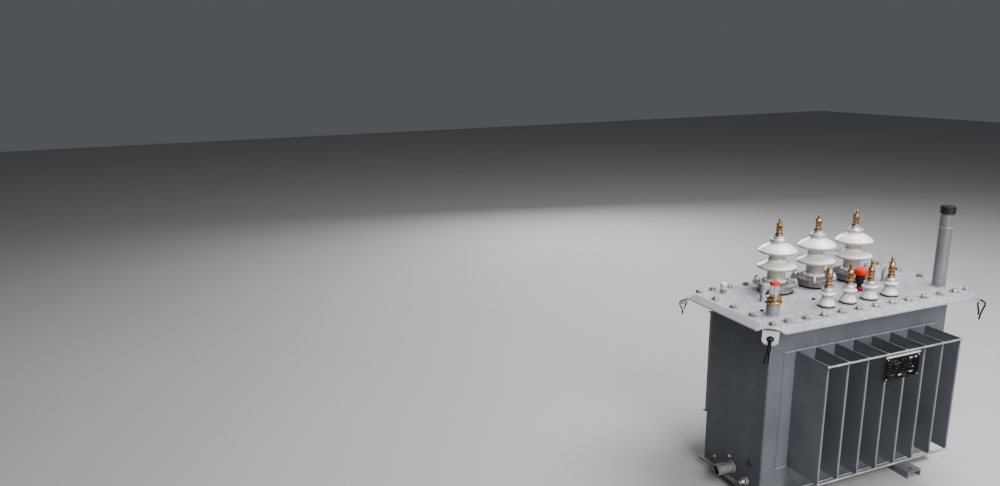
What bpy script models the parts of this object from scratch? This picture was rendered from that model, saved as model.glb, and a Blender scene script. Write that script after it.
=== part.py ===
"""Small oil-filled distribution transformer with corrugated cooling fins.

Metres, +Z up. X runs along the tank, the low-voltage side and the nameplate face -Y,
and the origin lies on the ground under the middle of the tank.
"""
import math

import bmesh
import bpy
from mathutils import Matrix, Vector

# What touching pieces keep between them, and what cuts run past a face
SEAT_GAP = 0.0003
CUT_OVERRUN = 0.004
MERGE_DISTANCE = 0.00002

# How finely round pieces are divided
ROUND_SIDES = 20
FINE_SIDES = 24
NUT_SIDES = 12
ARC_STEPS = 4
SHED_EDGE_STEPS = 4

# Tank: a closed steel box, solid here
TANK_LENGTH = 0.806
TANK_WIDTH = 0.304
TANK_CORNER_RADIUS = 0.008
LID_TOP_HEIGHT = 0.677

# Bottom plate and feet
BOTTOM_PLATE_THICKNESS = 0.006
BOTTOM_PLATE_REACH = 0.012
FOOT_HEIGHT = 0.025
FOOT_WIDTH = 0.066
FOOT_LENGTH = 0.452
FOOT_SHEET = 0.005
FOOT_SPACING = 0.480
FOOT_HOLE_RADIUS = 0.007
FOOT_HOLE_EDGE = 0.020

# Rim and lid
LID_LENGTH = 0.960
LID_WIDTH = 0.460
LID_THICKNESS = 0.004
LID_CORNER_CUT = 0.061
FOLD_CORNER_CUT = 0.043
LIP_REACH = 0.018
LIP_DROP = 0.018
LIP_CORNER_DROP = 0.0055
LIP_ARCH_POWER_SHARE = 2.5
CORNER_STEPS = 6
GASKET_THICKNESS = 0.006
RIM_THICKNESS = 0.010
RIM_LIP_CLEARANCE = 0.010
RIM_CORNER_CUT = 0.022
GASKET_INSET = 0.003

# Corner lugs, bent down below the cut corners of the lid
LUG_WIDTH = 0.050
LUG_THICKNESS = 0.006
LUG_DEPTH_BELOW_GASKET = 0.004
LUG_BEND_INSIDE_CORNER = 0.040
LUG_SLOPE_LENGTH = 0.050
LUG_SLOPE_DEGREES = 38.5
LUG_TIP_RADIUS = 0.018
LUG_HOLE_RADIUS = 0.0118
LUG_HOLE_EDGE = 0.0205

CORNERS = (
    ("front_left", -1, -1),
    ("front_right", 1, -1),
    ("back_right", 1, 1),
    ("back_left", -1, 1),
)

# Corrugated panels
FIN_COUNT = 8
FIN_PACK_LENGTH = 0.596
FIN_DEPTH = 0.137
FIN_THICKNESS = 0.008
FIN_SEAM_THICKNESS = 0.003
FIN_SEAM_HEIGHT = 0.012
FIN_PINCH_HEIGHT = 0.024
FIN_BOTTOM = 0.134
FIN_TOP = 0.553
PANEL_LENGTH = 0.690
PANEL_SHEET = 0.003
ROD_RADIUS = 0.003
ROD_EDGE = 0.004
ROD_OVERHANG = 0.004
ROD_WELD = 0.0015
ROD_SIDES = 8

# High-voltage bushings
HV_COUNT = 3
HV_PITCH = 0.180
HV_CENTRE_X = 0.0
HV_ROW_Y = 0.0866
HV_COLLAR_RADIUS = 0.059
HV_COLLAR_HEIGHT = 0.025
HV_FOOT_RADIUS = 0.037
HV_FOOT_HEIGHT = 0.040
HV_NECK_RADIUS = 0.031
HV_NECK_HEIGHT = 0.047
HV_CORE_RADIUS = 0.029
HV_LOWER_SHED_RADIUS = 0.068
HV_UPPER_SHED_RADIUS = 0.067
HV_SHED_EDGE_RADIUS = 0.0065
HV_LOWER_SHED_HEIGHT = 0.0925
HV_UPPER_SHED_HEIGHT = 0.149
HV_SHED_RISE = 0.022
HV_TOP_SHED_RISE = 0.030
HV_SHED_HOLLOW = 0.011
DOME_SHARES = (0.35, 0.7, 1.0)
DOME_POWER_SHARE = 0.6
HV_TOP_RADIUS = 0.026
HV_INSULATOR_TOP = 0.183
HV_CLAMP_RADIUS = 0.066
HV_CLAMP_LOBE_RADIUS = 0.078
HV_CLAMP_EDGE_HEIGHT = 0.007
HV_CLAMP_HUB_RADIUS = 0.050
HV_CLAMP_HUB_HEIGHT = 0.012
HV_CLAMP_LOBES = 4
HV_CLAMP_SIDES = 40
HV_CAP_RADIUS = 0.0305
HV_CAP_HEIGHT = 0.019
HV_SEAT_NUT_HEIGHT = 0.009
HV_STUD_TOP = 0.264

# Low-voltage bushings
LV_COUNT = 4
LV_PITCH = 0.0954
LV_CENTRE_X = -0.0033
LV_ROW_Y = -0.120
LV_FOOT_RADIUS = 0.027
LV_FOOT_HEIGHT = 0.0095
LV_SHOULDER_RADIUS = 0.0195
LV_SHOULDER_HEIGHT = 0.0235
LV_NECK_RADIUS = 0.0165
LV_SHED_RADIUS = 0.0248
LV_SHED_EDGE_RADIUS = 0.0036
LV_SHED_HEIGHT = 0.0443
LV_TOP_RADIUS = 0.017
LV_INSULATOR_TOP = 0.054
LV_CAP_RADIUS = 0.0208
LV_CAP_HEIGHT = 0.0115
LV_SEAT_NUT_HEIGHT = 0.007
LV_STUD_TOP = 0.138

# Studs on the bushings, with their nuts
CAP_FOOT_SHARE = 0.85
CAP_RIM_SHARES = (0.2, 0.35)
SEAT_NUT_WIDTH = 0.024
STUD_RADIUS = 0.006
STUD_CHAMFER = 0.001
WASHER_THICKNESS = 0.0015
WASHER_RADIUS = 0.0112
WASHER_GAP = 0.003
NUT_WIDTH = 0.0195
NUT_HEIGHT = 0.0105
NUT_GAP = 0.0015
NUT_COUNT = 3

# Filler pipe
PIPE_X = 0.3921
PIPE_Y = -0.1122
PIPE_RADIUS = 0.022
PIPE_HEIGHT = 0.2687
PIPE_RING_HEIGHT = 0.218
PIPE_RING_REACH = 0.0012
PIPE_RING_WIDTH = 0.006
PIPE_CAP_RADIUS = 0.0252
PIPE_CAP_HEIGHT = 0.0254
PIPE_CAP_CHAMFER = 0.003

# Oil gauge
GAUGE_X = -0.3676
GAUGE_Y = -0.1124
GAUGE_STUB_RADIUS = 0.022
GAUGE_STUB_HEIGHT = 0.0376
GAUGE_LOWER_NUT_WIDTH = 0.050
GAUGE_UPPER_NUT_WIDTH = 0.046
GAUGE_NUT_HEIGHT = 0.0115
GAUGE_NUT_GAP = 0.0012
GAUGE_GLASS_RADIUS = 0.014
GAUGE_GLASS_HEIGHT = 0.0385
GAUGE_CAP_RADIUS = 0.0158
GAUGE_CAP_HEIGHT = 0.0107
GAUGE_CAP_CHAMFER = 0.003

# Tap changer: a fixed collar and housing under a knob that turns
TAP_X = 0.091
TAP_Y = -0.0356
TAP_COLLAR_RADIUS = 0.0138
TAP_COLLAR_HEIGHT = 0.0135
TAP_HOUSING_FOOT_RADIUS = 0.0082
TAP_HOUSING_RADIUS = 0.0155
TAP_HOUSING_HEIGHT = 0.0435
TAP_HOUSING_FOOT_HEIGHT = 0.022
TAP_KNOB_RADIUS = 0.0262
TAP_KNOB_HEIGHT = 0.0262
TAP_KNOB_EDGE_RADIUS = 0.007
TAP_KNOB_GROOVES = 12
TAP_KNOB_GROOVE_DEPTH = 0.0012
TAP_RUNNING_GAP = 0.0006

# Lifting lugs on the lid
LEFT_LIFT_PLACE = (-0.282, 0.010)
RIGHT_LIFT_PLACE = (0.282, 0.010)
LIFT_WIDTH = 0.056
LIFT_HEIGHT = 0.061
LIFT_THICKNESS = 0.012
LIFT_HOLE_RADIUS = 0.0155
LIFT_HOLE_HEIGHT = 0.0265

# Thermometer pocket
POCKET_X = -0.360
POCKET_Y = 0.145
POCKET_RADIUS = 0.011
POCKET_HEIGHT = 0.024
POCKET_CAP_WIDTH = 0.024
POCKET_CAP_HEIGHT = 0.012

# Drain on the left end wall
DRAIN_Y = -0.008
DRAIN_HEIGHT = 0.078
DRAIN_COLLAR_RADIUS = 0.024
DRAIN_COLLAR_LENGTH = 0.010
DRAIN_RADIUS = 0.0200
DRAIN_LENGTH = 0.070
DRAIN_NUT_WIDTH = 0.038
DRAIN_NUT_LENGTH = 0.016

# Earth terminal on the left end wall
EARTH_Y = -0.085
EARTH_HEIGHT = 0.064
EARTH_BOSS_RADIUS = 0.014
EARTH_BOSS_LENGTH = 0.008
EARTH_STUD_RADIUS = 0.006
EARTH_NUT_WIDTH = 0.019
EARTH_NUT_LENGTH = 0.008
EARTH_LENGTH = 0.030

# Nameplate on its bracket
PLATE_X = 0.024
PLATE_WIDTH = 0.146
PLATE_HEIGHT = 0.076
PLATE_THICKNESS = 0.0015
PLATE_TOP = 0.534
BRACKET_SHEET = 0.002
BRACKET_BORDER = 0.002
BRACKET_TOP_BORDER = 0.008
BRACKET_LEDGE = 0.005

# Heights and places that follow from the sizes above
plate_low = FOOT_HEIGHT + SEAT_GAP
tank_low = plate_low + BOTTOM_PLATE_THICKNESS + SEAT_GAP
lid_under = LID_TOP_HEIGHT - LID_THICKNESS
gasket_low = lid_under - SEAT_GAP - GASKET_THICKNESS
tank_top = gasket_low - SEAT_GAP
rim_low = tank_top - RIM_THICKNESS
lid_seat = LID_TOP_HEIGHT + SEAT_GAP
top_length = LID_LENGTH - LIP_REACH * 2
top_width = LID_WIDTH - LIP_REACH * 2
rim_length = top_length - RIM_LIP_CLEARANCE * 2
rim_width = top_width - RIM_LIP_CLEARANCE * 2
wall_x = TANK_LENGTH / 2
wall_y = TANK_WIDTH / 2
fin_tip = wall_y + SEAT_GAP + PANEL_SHEET + FIN_DEPTH
rod_y = fin_tip + ROD_RADIUS - ROD_WELD


def clear_scene():
    for thing in list(bpy.data.objects):
        bpy.data.objects.remove(thing, do_unlink=True)


def material(name, colour, roughness, metallic=0.0):
    """A Principled material with the part's own colour."""
    made = bpy.data.materials.new(name)
    made.use_nodes = True
    shader = made.node_tree.nodes["Principled BSDF"]
    shader.inputs["Base Color"].default_value = (*colour, 1.0)
    shader.inputs["Roughness"].default_value = roughness
    shader.inputs["Metallic"].default_value = metallic
    made.diffuse_color = (*colour, 1.0)
    return made


def add_object(name, shape, look, smooth_angle=None):
    """Turns a bmesh into a named object."""
    bmesh.ops.remove_doubles(shape, verts=shape.verts, dist=MERGE_DISTANCE)
    bmesh.ops.recalc_face_normals(shape, faces=shape.faces)
    mesh = bpy.data.meshes.new(name)
    shape.to_mesh(mesh)
    shape.free()
    mesh.materials.append(look)
    if smooth_angle is not None:
        mesh.shade_smooth()
        mesh.set_sharp_from_angle(angle=smooth_angle)
    thing = bpy.data.objects.new(name, mesh)
    bpy.context.scene.collection.objects.link(thing)
    return thing


def loft(shape, rings):
    """Joins rings of equally many points and closes both ends."""
    placed = [[shape.verts.new(point) for point in ring] for ring in rings]
    count = len(placed[0])
    for lower, upper in zip(placed, placed[1:]):
        for index in range(count):
            following = (index + 1) % count
            corners = (lower[index], lower[following], upper[following], upper[index])
            shape.faces.new(corners)
    shape.faces.new(list(reversed(placed[0])))
    shape.faces.new(placed[-1])


def prism(shape, outline, low, high):
    """An upright plate from an outline of (x, y) points."""
    loft(shape, [[(x, y, level) for x, y in outline] for level in (low, high)])


def box(shape, centre, size):
    """A box with its sides along the axes."""
    place = Matrix.Translation(Vector(centre)) @ Matrix.Diagonal(Vector((*size, 1.0)))
    bmesh.ops.create_cube(shape, size=1.0, matrix=place)


def turned(shape, centre, profile, sides=ROUND_SIDES, turn=None):
    """A turned piece from (radius, height) points, upwards; a radius may vary by angle."""
    place = Matrix.Translation(Vector(centre))
    if turn is not None:
        place = place @ turn
    rings = []
    for radius, height in profile:
        ring = []
        for index in range(sides):
            angle = index / sides * math.tau
            reach = radius(angle) if callable(radius) else radius
            point = Vector((reach * math.cos(angle), reach * math.sin(angle), height))
            ring.append(place @ point)
        rings.append(ring)
    loft(shape, rings)


def hexagon(width):
    """Radius of a nut, by its width across the flats, at an angle."""
    def reach(angle):
        return width / 2 / math.cos(angle % (math.pi / 3) - math.pi / 6)
    return reach


def arc(centre, radius, start, end, steps=ARC_STEPS):
    """Points on an arc, angles in degrees."""
    points = []
    for index in range(steps + 1):
        angle = math.radians(start + (end - start) * index / steps)
        across = radius * math.cos(angle)
        points.append((centre[0] + across, centre[1] + radius * math.sin(angle)))
    return points


def rounded_rectangle(length, width, radius):
    """Outline of a rectangle with round corners, centred."""
    reach_x = length / 2 - radius
    reach_y = width / 2 - radius
    corners = (
        (reach_x, -reach_y, -90),
        (reach_x, reach_y, 0),
        (-reach_x, reach_y, 90),
        (-reach_x, -reach_y, 180),
    )
    outline = []
    for x, y, start in corners:
        outline += arc((x, y), radius, start, start + 90)
    return outline


def cut_rectangle(length, width, cut, steps=1):
    """Outline of a rectangle with its corners cut off straight, each cut divided into steps."""
    outline = []
    turns = ((1, -1, False), (1, 1, True), (-1, 1, False), (-1, -1, True))
    for sign_x, sign_y, falling in turns:
        along = Vector((sign_x * (length / 2 - cut), sign_y * width / 2))
        across = Vector((sign_x * length / 2, sign_y * (width / 2 - cut)))
        start, end = (across, along) if falling else (along, across)
        outline += [start.lerp(end, step / steps) for step in range(steps + 1)]
    return outline


def combine(target, name, shape, operation="DIFFERENCE"):
    """Cuts a helper shape out of an object, or welds it on."""
    helper = add_object(name, shape, target.data.materials[0])
    helper.hide_render = True
    helper.display_type = "WIRE"
    change = target.modifiers.new(name, "BOOLEAN")
    change.operation = operation
    change.object = helper


def tank_body(look):
    shape = bmesh.new()
    outline = rounded_rectangle(TANK_LENGTH, TANK_WIDTH, TANK_CORNER_RADIUS)
    prism(shape, outline, tank_low, tank_top)
    add_object("tank_body", shape, look, math.radians(35))


def tank_bottom_plate(look):
    shape = bmesh.new()
    length = TANK_LENGTH + BOTTOM_PLATE_REACH * 2
    width = TANK_WIDTH + BOTTOM_PLATE_REACH * 2
    outline = rounded_rectangle(length, width, TANK_CORNER_RADIUS)
    prism(shape, outline, plate_low, plate_low + BOTTOM_PLATE_THICKNESS)
    add_object("tank_bottom_plate", shape, look)


def tank_rim(look):
    """A flat frame round the top of the tank, with its corners cut off."""
    shape = bmesh.new()
    prism(shape, cut_rectangle(rim_length, rim_width, RIM_CORNER_CUT), rim_low, tank_top)
    rim = add_object("tank_rim", shape, look)
    hole = bmesh.new()
    opening = TANK_LENGTH + SEAT_GAP * 2, TANK_WIDTH + SEAT_GAP * 2
    inner = rounded_rectangle(*opening, TANK_CORNER_RADIUS + SEAT_GAP)
    prism(hole, inner, rim_low - CUT_OVERRUN, tank_top + CUT_OVERRUN)
    combine(rim, "tank_rim_opening", hole)


def lid_gasket(look):
    """The gasket covers the rim and the tank's edge alike."""
    shape = bmesh.new()
    length = rim_length - GASKET_INSET * 2
    width = rim_width - GASKET_INSET * 2
    outline = cut_rectangle(length, width, RIM_CORNER_CUT)
    prism(shape, outline, gasket_low, gasket_low + GASKET_THICKNESS)
    add_object("lid_gasket", shape, look)


def lip_levels():
    """Heights of the lid's bent edge: low along the sides, arching up over each cut corner."""
    levels = []
    for step in range(CORNER_STEPS + 1):
        away = abs(step / CORNER_STEPS * 2 - 1) ** LIP_ARCH_POWER_SHARE
        levels.append(LID_TOP_HEIGHT - LIP_CORNER_DROP - (LIP_DROP - LIP_CORNER_DROP) * away)
    return levels * len(CORNERS)


def lid(look):
    """A flat sheet with its edges bent down all round, and the bushings' welded collars."""
    fold = cut_rectangle(top_length, top_width, FOLD_CORNER_CUT, CORNER_STEPS)
    edge = cut_rectangle(LID_LENGTH, LID_WIDTH, LID_CORNER_CUT, CORNER_STEPS)
    levels = lip_levels()
    shape = bmesh.new()
    rings = [
        [(x, y, lid_under) for x, y in fold],
        [(x, y, level - LID_THICKNESS) for (x, y), level in zip(edge, levels)],
        [(x, y, level) for (x, y), level in zip(edge, levels)],
        [(x, y, LID_TOP_HEIGHT) for x, y in fold],
    ]
    loft(shape, rings)
    sheet = add_object("lid", shape, look)
    for number, centre in enumerate(hv_positions(), 1):
        collar = bmesh.new()
        profile = ((HV_COLLAR_RADIUS, -LID_THICKNESS / 2), (HV_COLLAR_RADIUS, HV_COLLAR_HEIGHT))
        turned(collar, (*centre, LID_TOP_HEIGHT), profile, FINE_SIDES)
        combine(sheet, f"hv_collar_{number}", collar, "UNION")


def lug_tip(along, across):
    """Outline of a lug's end, two round corners, from the -across side to the +across side."""
    reach = LUG_WIDTH / 2 - LUG_TIP_RADIUS
    middle = LUG_SLOPE_LENGTH - LUG_TIP_RADIUS
    points = []
    for side, start in ((-1, 180), (1, 90)):
        for sideways, forward in arc((0, 0), LUG_TIP_RADIUS, start, start - 90):
            points.append(along * (middle + forward) + across * (side * reach + sideways))
    return points


def corner_lug(name, sign_x, sign_y, look):
    """A lug welded to a cut corner of the rim, its front bent down and out, with a hole."""
    bend = LUG_BEND_INSIDE_CORNER / math.sqrt(2)
    place_x = sign_x * (LID_LENGTH / 2 - bend)
    place_y = sign_y * (LID_WIDTH / 2 - bend)
    seat = tank_top - LUG_DEPTH_BELOW_GASKET
    place = Matrix.Translation(Vector((place_x, place_y, seat)))
    place = place @ Matrix.Rotation(math.atan2(sign_y, sign_x), 4, "Z")
    slope = math.radians(LUG_SLOPE_DEGREES)
    along = Vector((math.cos(slope), 0, -math.sin(slope)))
    sideways = Vector((0, 1, 0))
    across = sideways * (LUG_WIDTH / 2)
    down = Vector((0, 0, -LUG_THICKNESS))
    below = Vector((-math.sin(slope), 0, -math.cos(slope))) * LUG_THICKNESS
    inner_bend = down + Vector((-math.tan(slope / 2) * LUG_THICKNESS, 0, 0))
    rim_inside_corner = (LID_LENGTH - rim_length + RIM_CORNER_CUT) / math.sqrt(2)
    tab = Vector((-(rim_inside_corner - SEAT_GAP - LUG_BEND_INSIDE_CORNER), 0, 0))
    tip = lug_tip(along, sideways)
    upper = [tab + across, tab - across, -across, *tip, across]
    lower = [tab + across + down, tab - across + down, inner_bend - across]
    lower += [point + below for point in tip]
    lower += [inner_bend + across]
    shape = bmesh.new()
    rings = [[shape.verts.new(place @ point) for point in ring] for ring in (upper, lower)]
    for ring in rings:
        shape.faces.new((ring[0], ring[1], ring[2], ring[-1]))
        shape.faces.new(ring[2:])
    for index in range(len(upper)):
        following = (index + 1) % len(upper)
        corners = (rings[0][index], rings[0][following], rings[1][following], rings[1][index])
        shape.faces.new(corners)
    plate = add_object(name, shape, look)
    hole = bmesh.new()
    centre = Matrix.Translation(along * (LUG_SLOPE_LENGTH - LUG_HOLE_EDGE))
    centre = place @ centre @ Matrix.Rotation(slope, 4, "Y")
    reach = LUG_THICKNESS + CUT_OVERRUN
    turned(hole, (0, 0, 0), ((LUG_HOLE_RADIUS, -reach), (LUG_HOLE_RADIUS, reach)), turn=centre)
    combine(plate, name + "_hole", hole)


def fin_outline(thickness, depth, base):
    """Comb outline of a corrugated panel seen from above, its fins with round tips towards +Y."""
    pitch = (FIN_PACK_LENGTH - FIN_THICKNESS) / (FIN_COUNT - 1)
    half = thickness / 2
    outline = [(PANEL_LENGTH / 2, 0.0), (PANEL_LENGTH / 2, base)]
    for index in reversed(range(FIN_COUNT)):
        x = (index - (FIN_COUNT - 1) / 2) * pitch
        outline.append((x + half, base))
        outline += arc((x, base + depth - half), half, 0, 180)
        outline.append((x - half, base))
    outline += [(-PANEL_LENGTH / 2, base), (-PANEL_LENGTH / 2, 0.0)]
    return outline


def fin_panel(name, side, look):
    """A corrugated panel, its fins pinched to a seam at both ends and tied by two welded rods."""
    shape = bmesh.new()
    start = wall_y + SEAT_GAP
    thick = fin_outline(FIN_THICKNESS, FIN_DEPTH, PANEL_SHEET)
    thin = fin_outline(FIN_SEAM_THICKNESS, FIN_DEPTH, PANEL_SHEET)
    levels = (
        (thin, FIN_BOTTOM),
        (thin, FIN_BOTTOM + FIN_SEAM_HEIGHT),
        (thick, FIN_BOTTOM + FIN_SEAM_HEIGHT + FIN_PINCH_HEIGHT),
        (thick, FIN_TOP - FIN_SEAM_HEIGHT - FIN_PINCH_HEIGHT),
        (thin, FIN_TOP - FIN_SEAM_HEIGHT),
        (thin, FIN_TOP),
    )
    rings = []
    for outline, level in levels:
        rings.append([(x * side, (start + y) * side, level) for x, y in outline])
    loft(shape, rings)
    panel = add_object(name, shape, look, math.radians(35))
    half = FIN_PACK_LENGTH / 2 + ROD_OVERHANG
    lying = Matrix.Rotation(math.pi / 2, 4, "Y")
    for edge, level in (("bottom", FIN_BOTTOM + ROD_EDGE), ("top", FIN_TOP - ROD_EDGE)):
        rod = bmesh.new()
        profile = ((ROD_RADIUS, -half), (ROD_RADIUS, half))
        turned(rod, (0, rod_y * side, level), profile, ROD_SIDES, lying)
        combine(panel, f"{name}_{edge}_rod", rod, "UNION")


def foot(name, x, look):
    """A channel with its open side down, and a bolt hole near each end."""
    shape = bmesh.new()
    half = FOOT_WIDTH / 2
    inner = half - FOOT_SHEET
    web = FOOT_HEIGHT - FOOT_SHEET
    section = (
        (-half, 0),
        (-half, FOOT_HEIGHT),
        (half, FOOT_HEIGHT),
        (half, 0),
        (inner, 0),
        (inner, web),
        (-inner, web),
        (-inner, 0),
    )
    ends = (-FOOT_LENGTH / 2, FOOT_LENGTH / 2)
    loft(shape, [[(x + across, y, level) for across, level in section] for y in ends])
    channel = add_object(name, shape, look)
    holes = bmesh.new()
    for side in (-1, 1):
        centre = (x, side * (FOOT_LENGTH / 2 - FOOT_HOLE_EDGE), web)
        high = FOOT_SHEET + CUT_OVERRUN
        profile = ((FOOT_HOLE_RADIUS, -CUT_OVERRUN), (FOOT_HOLE_RADIUS, high))
        turned(holes, centre, profile, NUT_SIDES)
    combine(channel, name + "_holes", holes)


def row_positions(count, pitch, centre_x, row_y):
    """Places of a row of bushings along the lid."""
    return [(centre_x + (index - (count - 1) / 2) * pitch, row_y) for index in range(count)]


def hv_positions():
    return row_positions(HV_COUNT, HV_PITCH, HV_CENTRE_X, HV_ROW_Y)


def lv_positions():
    return row_positions(LV_COUNT, LV_PITCH, LV_CENTRE_X, LV_ROW_Y)


def shed(height, radius, root_radius, crown_radius, crown_rise):
    """Profile of one large shed: from its root below, out round the edge and up its dome."""
    edge = HV_SHED_EDGE_RADIUS
    inner = radius - edge
    points = [(root_radius, height - HV_SHED_HOLLOW)]
    points += arc((inner, height), edge, -90, 90, SHED_EDGE_STEPS)
    for share in DOME_SHARES:
        reach = inner + (crown_radius - inner) * share
        points.append((reach, height + edge + (crown_rise - edge) * share ** DOME_POWER_SHARE))
    return points


def hv_insulator(name, centre, look):
    """Glazed body with two wide sheds."""
    low = HV_COLLAR_HEIGHT + SEAT_GAP
    profile = [
        (HV_FOOT_RADIUS, low),
        (HV_FOOT_RADIUS, HV_FOOT_HEIGHT),
        (HV_NECK_RADIUS, HV_NECK_HEIGHT),
    ]
    lower = HV_LOWER_SHED_HEIGHT, HV_LOWER_SHED_RADIUS
    upper = HV_UPPER_SHED_HEIGHT, HV_UPPER_SHED_RADIUS
    profile += shed(*lower, HV_NECK_RADIUS, HV_CORE_RADIUS, HV_SHED_RISE)
    profile += shed(*upper, HV_CORE_RADIUS, HV_TOP_RADIUS, HV_TOP_SHED_RISE)
    profile += [(HV_TOP_RADIUS, HV_INSULATOR_TOP)]
    shape = bmesh.new()
    turned(shape, (*centre, LID_TOP_HEIGHT), profile, FINE_SIDES)
    add_object(name, shape, look, math.radians(50))


def lv_insulator(name, centre, look):
    """Glazed body with a conical lower part and one small shed."""
    edge = LV_SHED_EDGE_RADIUS
    inner = LV_SHED_RADIUS - edge
    profile = [
        (LV_FOOT_RADIUS, 0),
        (LV_FOOT_RADIUS, LV_FOOT_HEIGHT),
        (LV_SHOULDER_RADIUS, LV_SHOULDER_HEIGHT),
        (LV_NECK_RADIUS, LV_SHED_HEIGHT - edge * 2),
        *arc((inner, LV_SHED_HEIGHT), edge, -90, 90, SHED_EDGE_STEPS),
        (LV_TOP_RADIUS, LV_INSULATOR_TOP),
    ]
    shape = bmesh.new()
    turned(shape, (*centre, lid_seat), profile)
    add_object(name, shape, look, math.radians(50))


def clamp_reach(angle):
    """Lobed outline of the clamp of a large bushing, its lobes halfway between the axes."""
    wave = (1 - math.cos(angle * HV_CLAMP_LOBES)) / 2
    return HV_CLAMP_RADIUS + (HV_CLAMP_LOBE_RADIUS - HV_CLAMP_RADIUS) * wave


def hv_clamp(name, centre, look):
    """Lobed ring with a raised hub round the foot of a large bushing."""
    low = HV_COLLAR_HEIGHT + SEAT_GAP
    edge = low + HV_CLAMP_EDGE_HEIGHT
    high = low + HV_CLAMP_HUB_HEIGHT
    place = (*centre, LID_TOP_HEIGHT)
    shape = bmesh.new()
    profile = ((clamp_reach, low), (clamp_reach, edge), (HV_CLAMP_HUB_RADIUS, high))
    turned(shape, place, profile, HV_CLAMP_SIDES)
    ring = add_object(name, shape, look, math.radians(50))
    bore = bmesh.new()
    radius = HV_FOOT_RADIUS + SEAT_GAP
    turned(bore, place, ((radius, low - CUT_OVERRUN), (radius, high + CUT_OVERRUN)), FINE_SIDES)
    combine(ring, name + "_bore", bore)


def terminal(name, centre, base, cap, seat_nut_height, stud_top, look):
    """A dished cap with its seat nut, and a threaded stud with nuts, from the bottom up."""
    cap_radius, cap_height = cap
    seat_nut = hexagon(SEAT_NUT_WIDTH)
    nut = hexagon(NUT_WIDTH)
    seat_top = cap_height + seat_nut_height
    profile = [(cap_radius * CAP_FOOT_SHARE, 0)]
    profile += [(cap_radius, cap_height * share) for share in CAP_RIM_SHARES]
    profile += [(seat_nut, cap_height), (seat_nut, seat_top)]
    profile += [(STUD_RADIUS, seat_top), (STUD_RADIUS, seat_top + WASHER_GAP)]
    level = seat_top + WASHER_GAP
    profile += [(WASHER_RADIUS, level), (WASHER_RADIUS, level + WASHER_THICKNESS)]
    level += WASHER_THICKNESS
    for _ in range(NUT_COUNT):
        profile += [(nut, level), (nut, level + NUT_HEIGHT), (STUD_RADIUS, level + NUT_HEIGHT)]
        level += NUT_HEIGHT + NUT_GAP
        profile += [(STUD_RADIUS, level)]
    end = stud_top - base
    profile += [(STUD_RADIUS, end - STUD_CHAMFER), (STUD_RADIUS - STUD_CHAMFER, end)]
    shape = bmesh.new()
    turned(shape, (*centre, LID_TOP_HEIGHT + base), profile, NUT_SIDES)
    add_object(name, shape, look)


def filler_pipe(look):
    """Upright filler pipe with a weld ring where its two lengths join."""
    ring = PIPE_RADIUS + PIPE_RING_REACH
    half = PIPE_RING_WIDTH / 2
    profile = (
        (PIPE_RADIUS, 0),
        (PIPE_RADIUS, PIPE_RING_HEIGHT - half),
        (ring, PIPE_RING_HEIGHT),
        (PIPE_RADIUS, PIPE_RING_HEIGHT + half),
        (PIPE_RADIUS, PIPE_HEIGHT),
    )
    shape = bmesh.new()
    turned(shape, (PIPE_X, PIPE_Y, lid_seat), profile)
    add_object("filler_pipe", shape, look, math.radians(50))


def filler_cap(look):
    low = PIPE_HEIGHT + SEAT_GAP
    high = low + PIPE_CAP_HEIGHT
    profile = (
        (PIPE_CAP_RADIUS, low),
        (PIPE_CAP_RADIUS, high - PIPE_CAP_CHAMFER),
        (PIPE_CAP_RADIUS - PIPE_CAP_CHAMFER, high),
    )
    shape = bmesh.new()
    turned(shape, (PIPE_X, PIPE_Y, lid_seat), profile)
    add_object("filler_cap", shape, look, math.radians(50))


def oil_gauge(painted, brass, glass, red):
    """Oil-level gauge: a painted stub, two brass nuts, the glass and its cap."""
    centre = (GAUGE_X, GAUGE_Y, lid_seat)
    stub = bmesh.new()
    turned(stub, centre, ((GAUGE_STUB_RADIUS, 0), (GAUGE_STUB_RADIUS, GAUGE_STUB_HEIGHT)))
    add_object("gauge_stub", stub, painted, math.radians(50))

    lower = hexagon(GAUGE_LOWER_NUT_WIDTH)
    upper = hexagon(GAUGE_UPPER_NUT_WIDTH)
    first = GAUGE_STUB_HEIGHT + SEAT_GAP
    second = first + GAUGE_NUT_HEIGHT
    third = second + GAUGE_NUT_GAP
    top = third + GAUGE_NUT_HEIGHT
    nuts = bmesh.new()
    profile = (
        (lower, first),
        (lower, second),
        (GAUGE_STUB_RADIUS, second),
        (GAUGE_STUB_RADIUS, third),
        (upper, third),
        (upper, top),
    )
    turned(nuts, centre, profile, NUT_SIDES)
    add_object("gauge_nuts", nuts, brass)

    pane = bmesh.new()
    low = top + SEAT_GAP
    profile = ((GAUGE_GLASS_RADIUS, low), (GAUGE_GLASS_RADIUS, low + GAUGE_GLASS_HEIGHT))
    turned(pane, centre, profile)
    add_object("gauge_glass", pane, glass, math.radians(50))

    cap = bmesh.new()
    low += GAUGE_GLASS_HEIGHT + SEAT_GAP
    high = low + GAUGE_CAP_HEIGHT
    profile = (
        (GAUGE_CAP_RADIUS, low),
        (GAUGE_CAP_RADIUS, high - GAUGE_CAP_CHAMFER),
        (GAUGE_CAP_RADIUS - GAUGE_CAP_CHAMFER, high),
    )
    turned(cap, centre, profile)
    add_object("gauge_cap", cap, red, math.radians(50))


def knob_reach(radius):
    """Edge of the knob with its finger grooves."""
    def reach(angle):
        return radius - TAP_KNOB_GROOVE_DEPTH * (1 - math.cos(angle * TAP_KNOB_GROOVES)) / 2
    return reach


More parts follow.
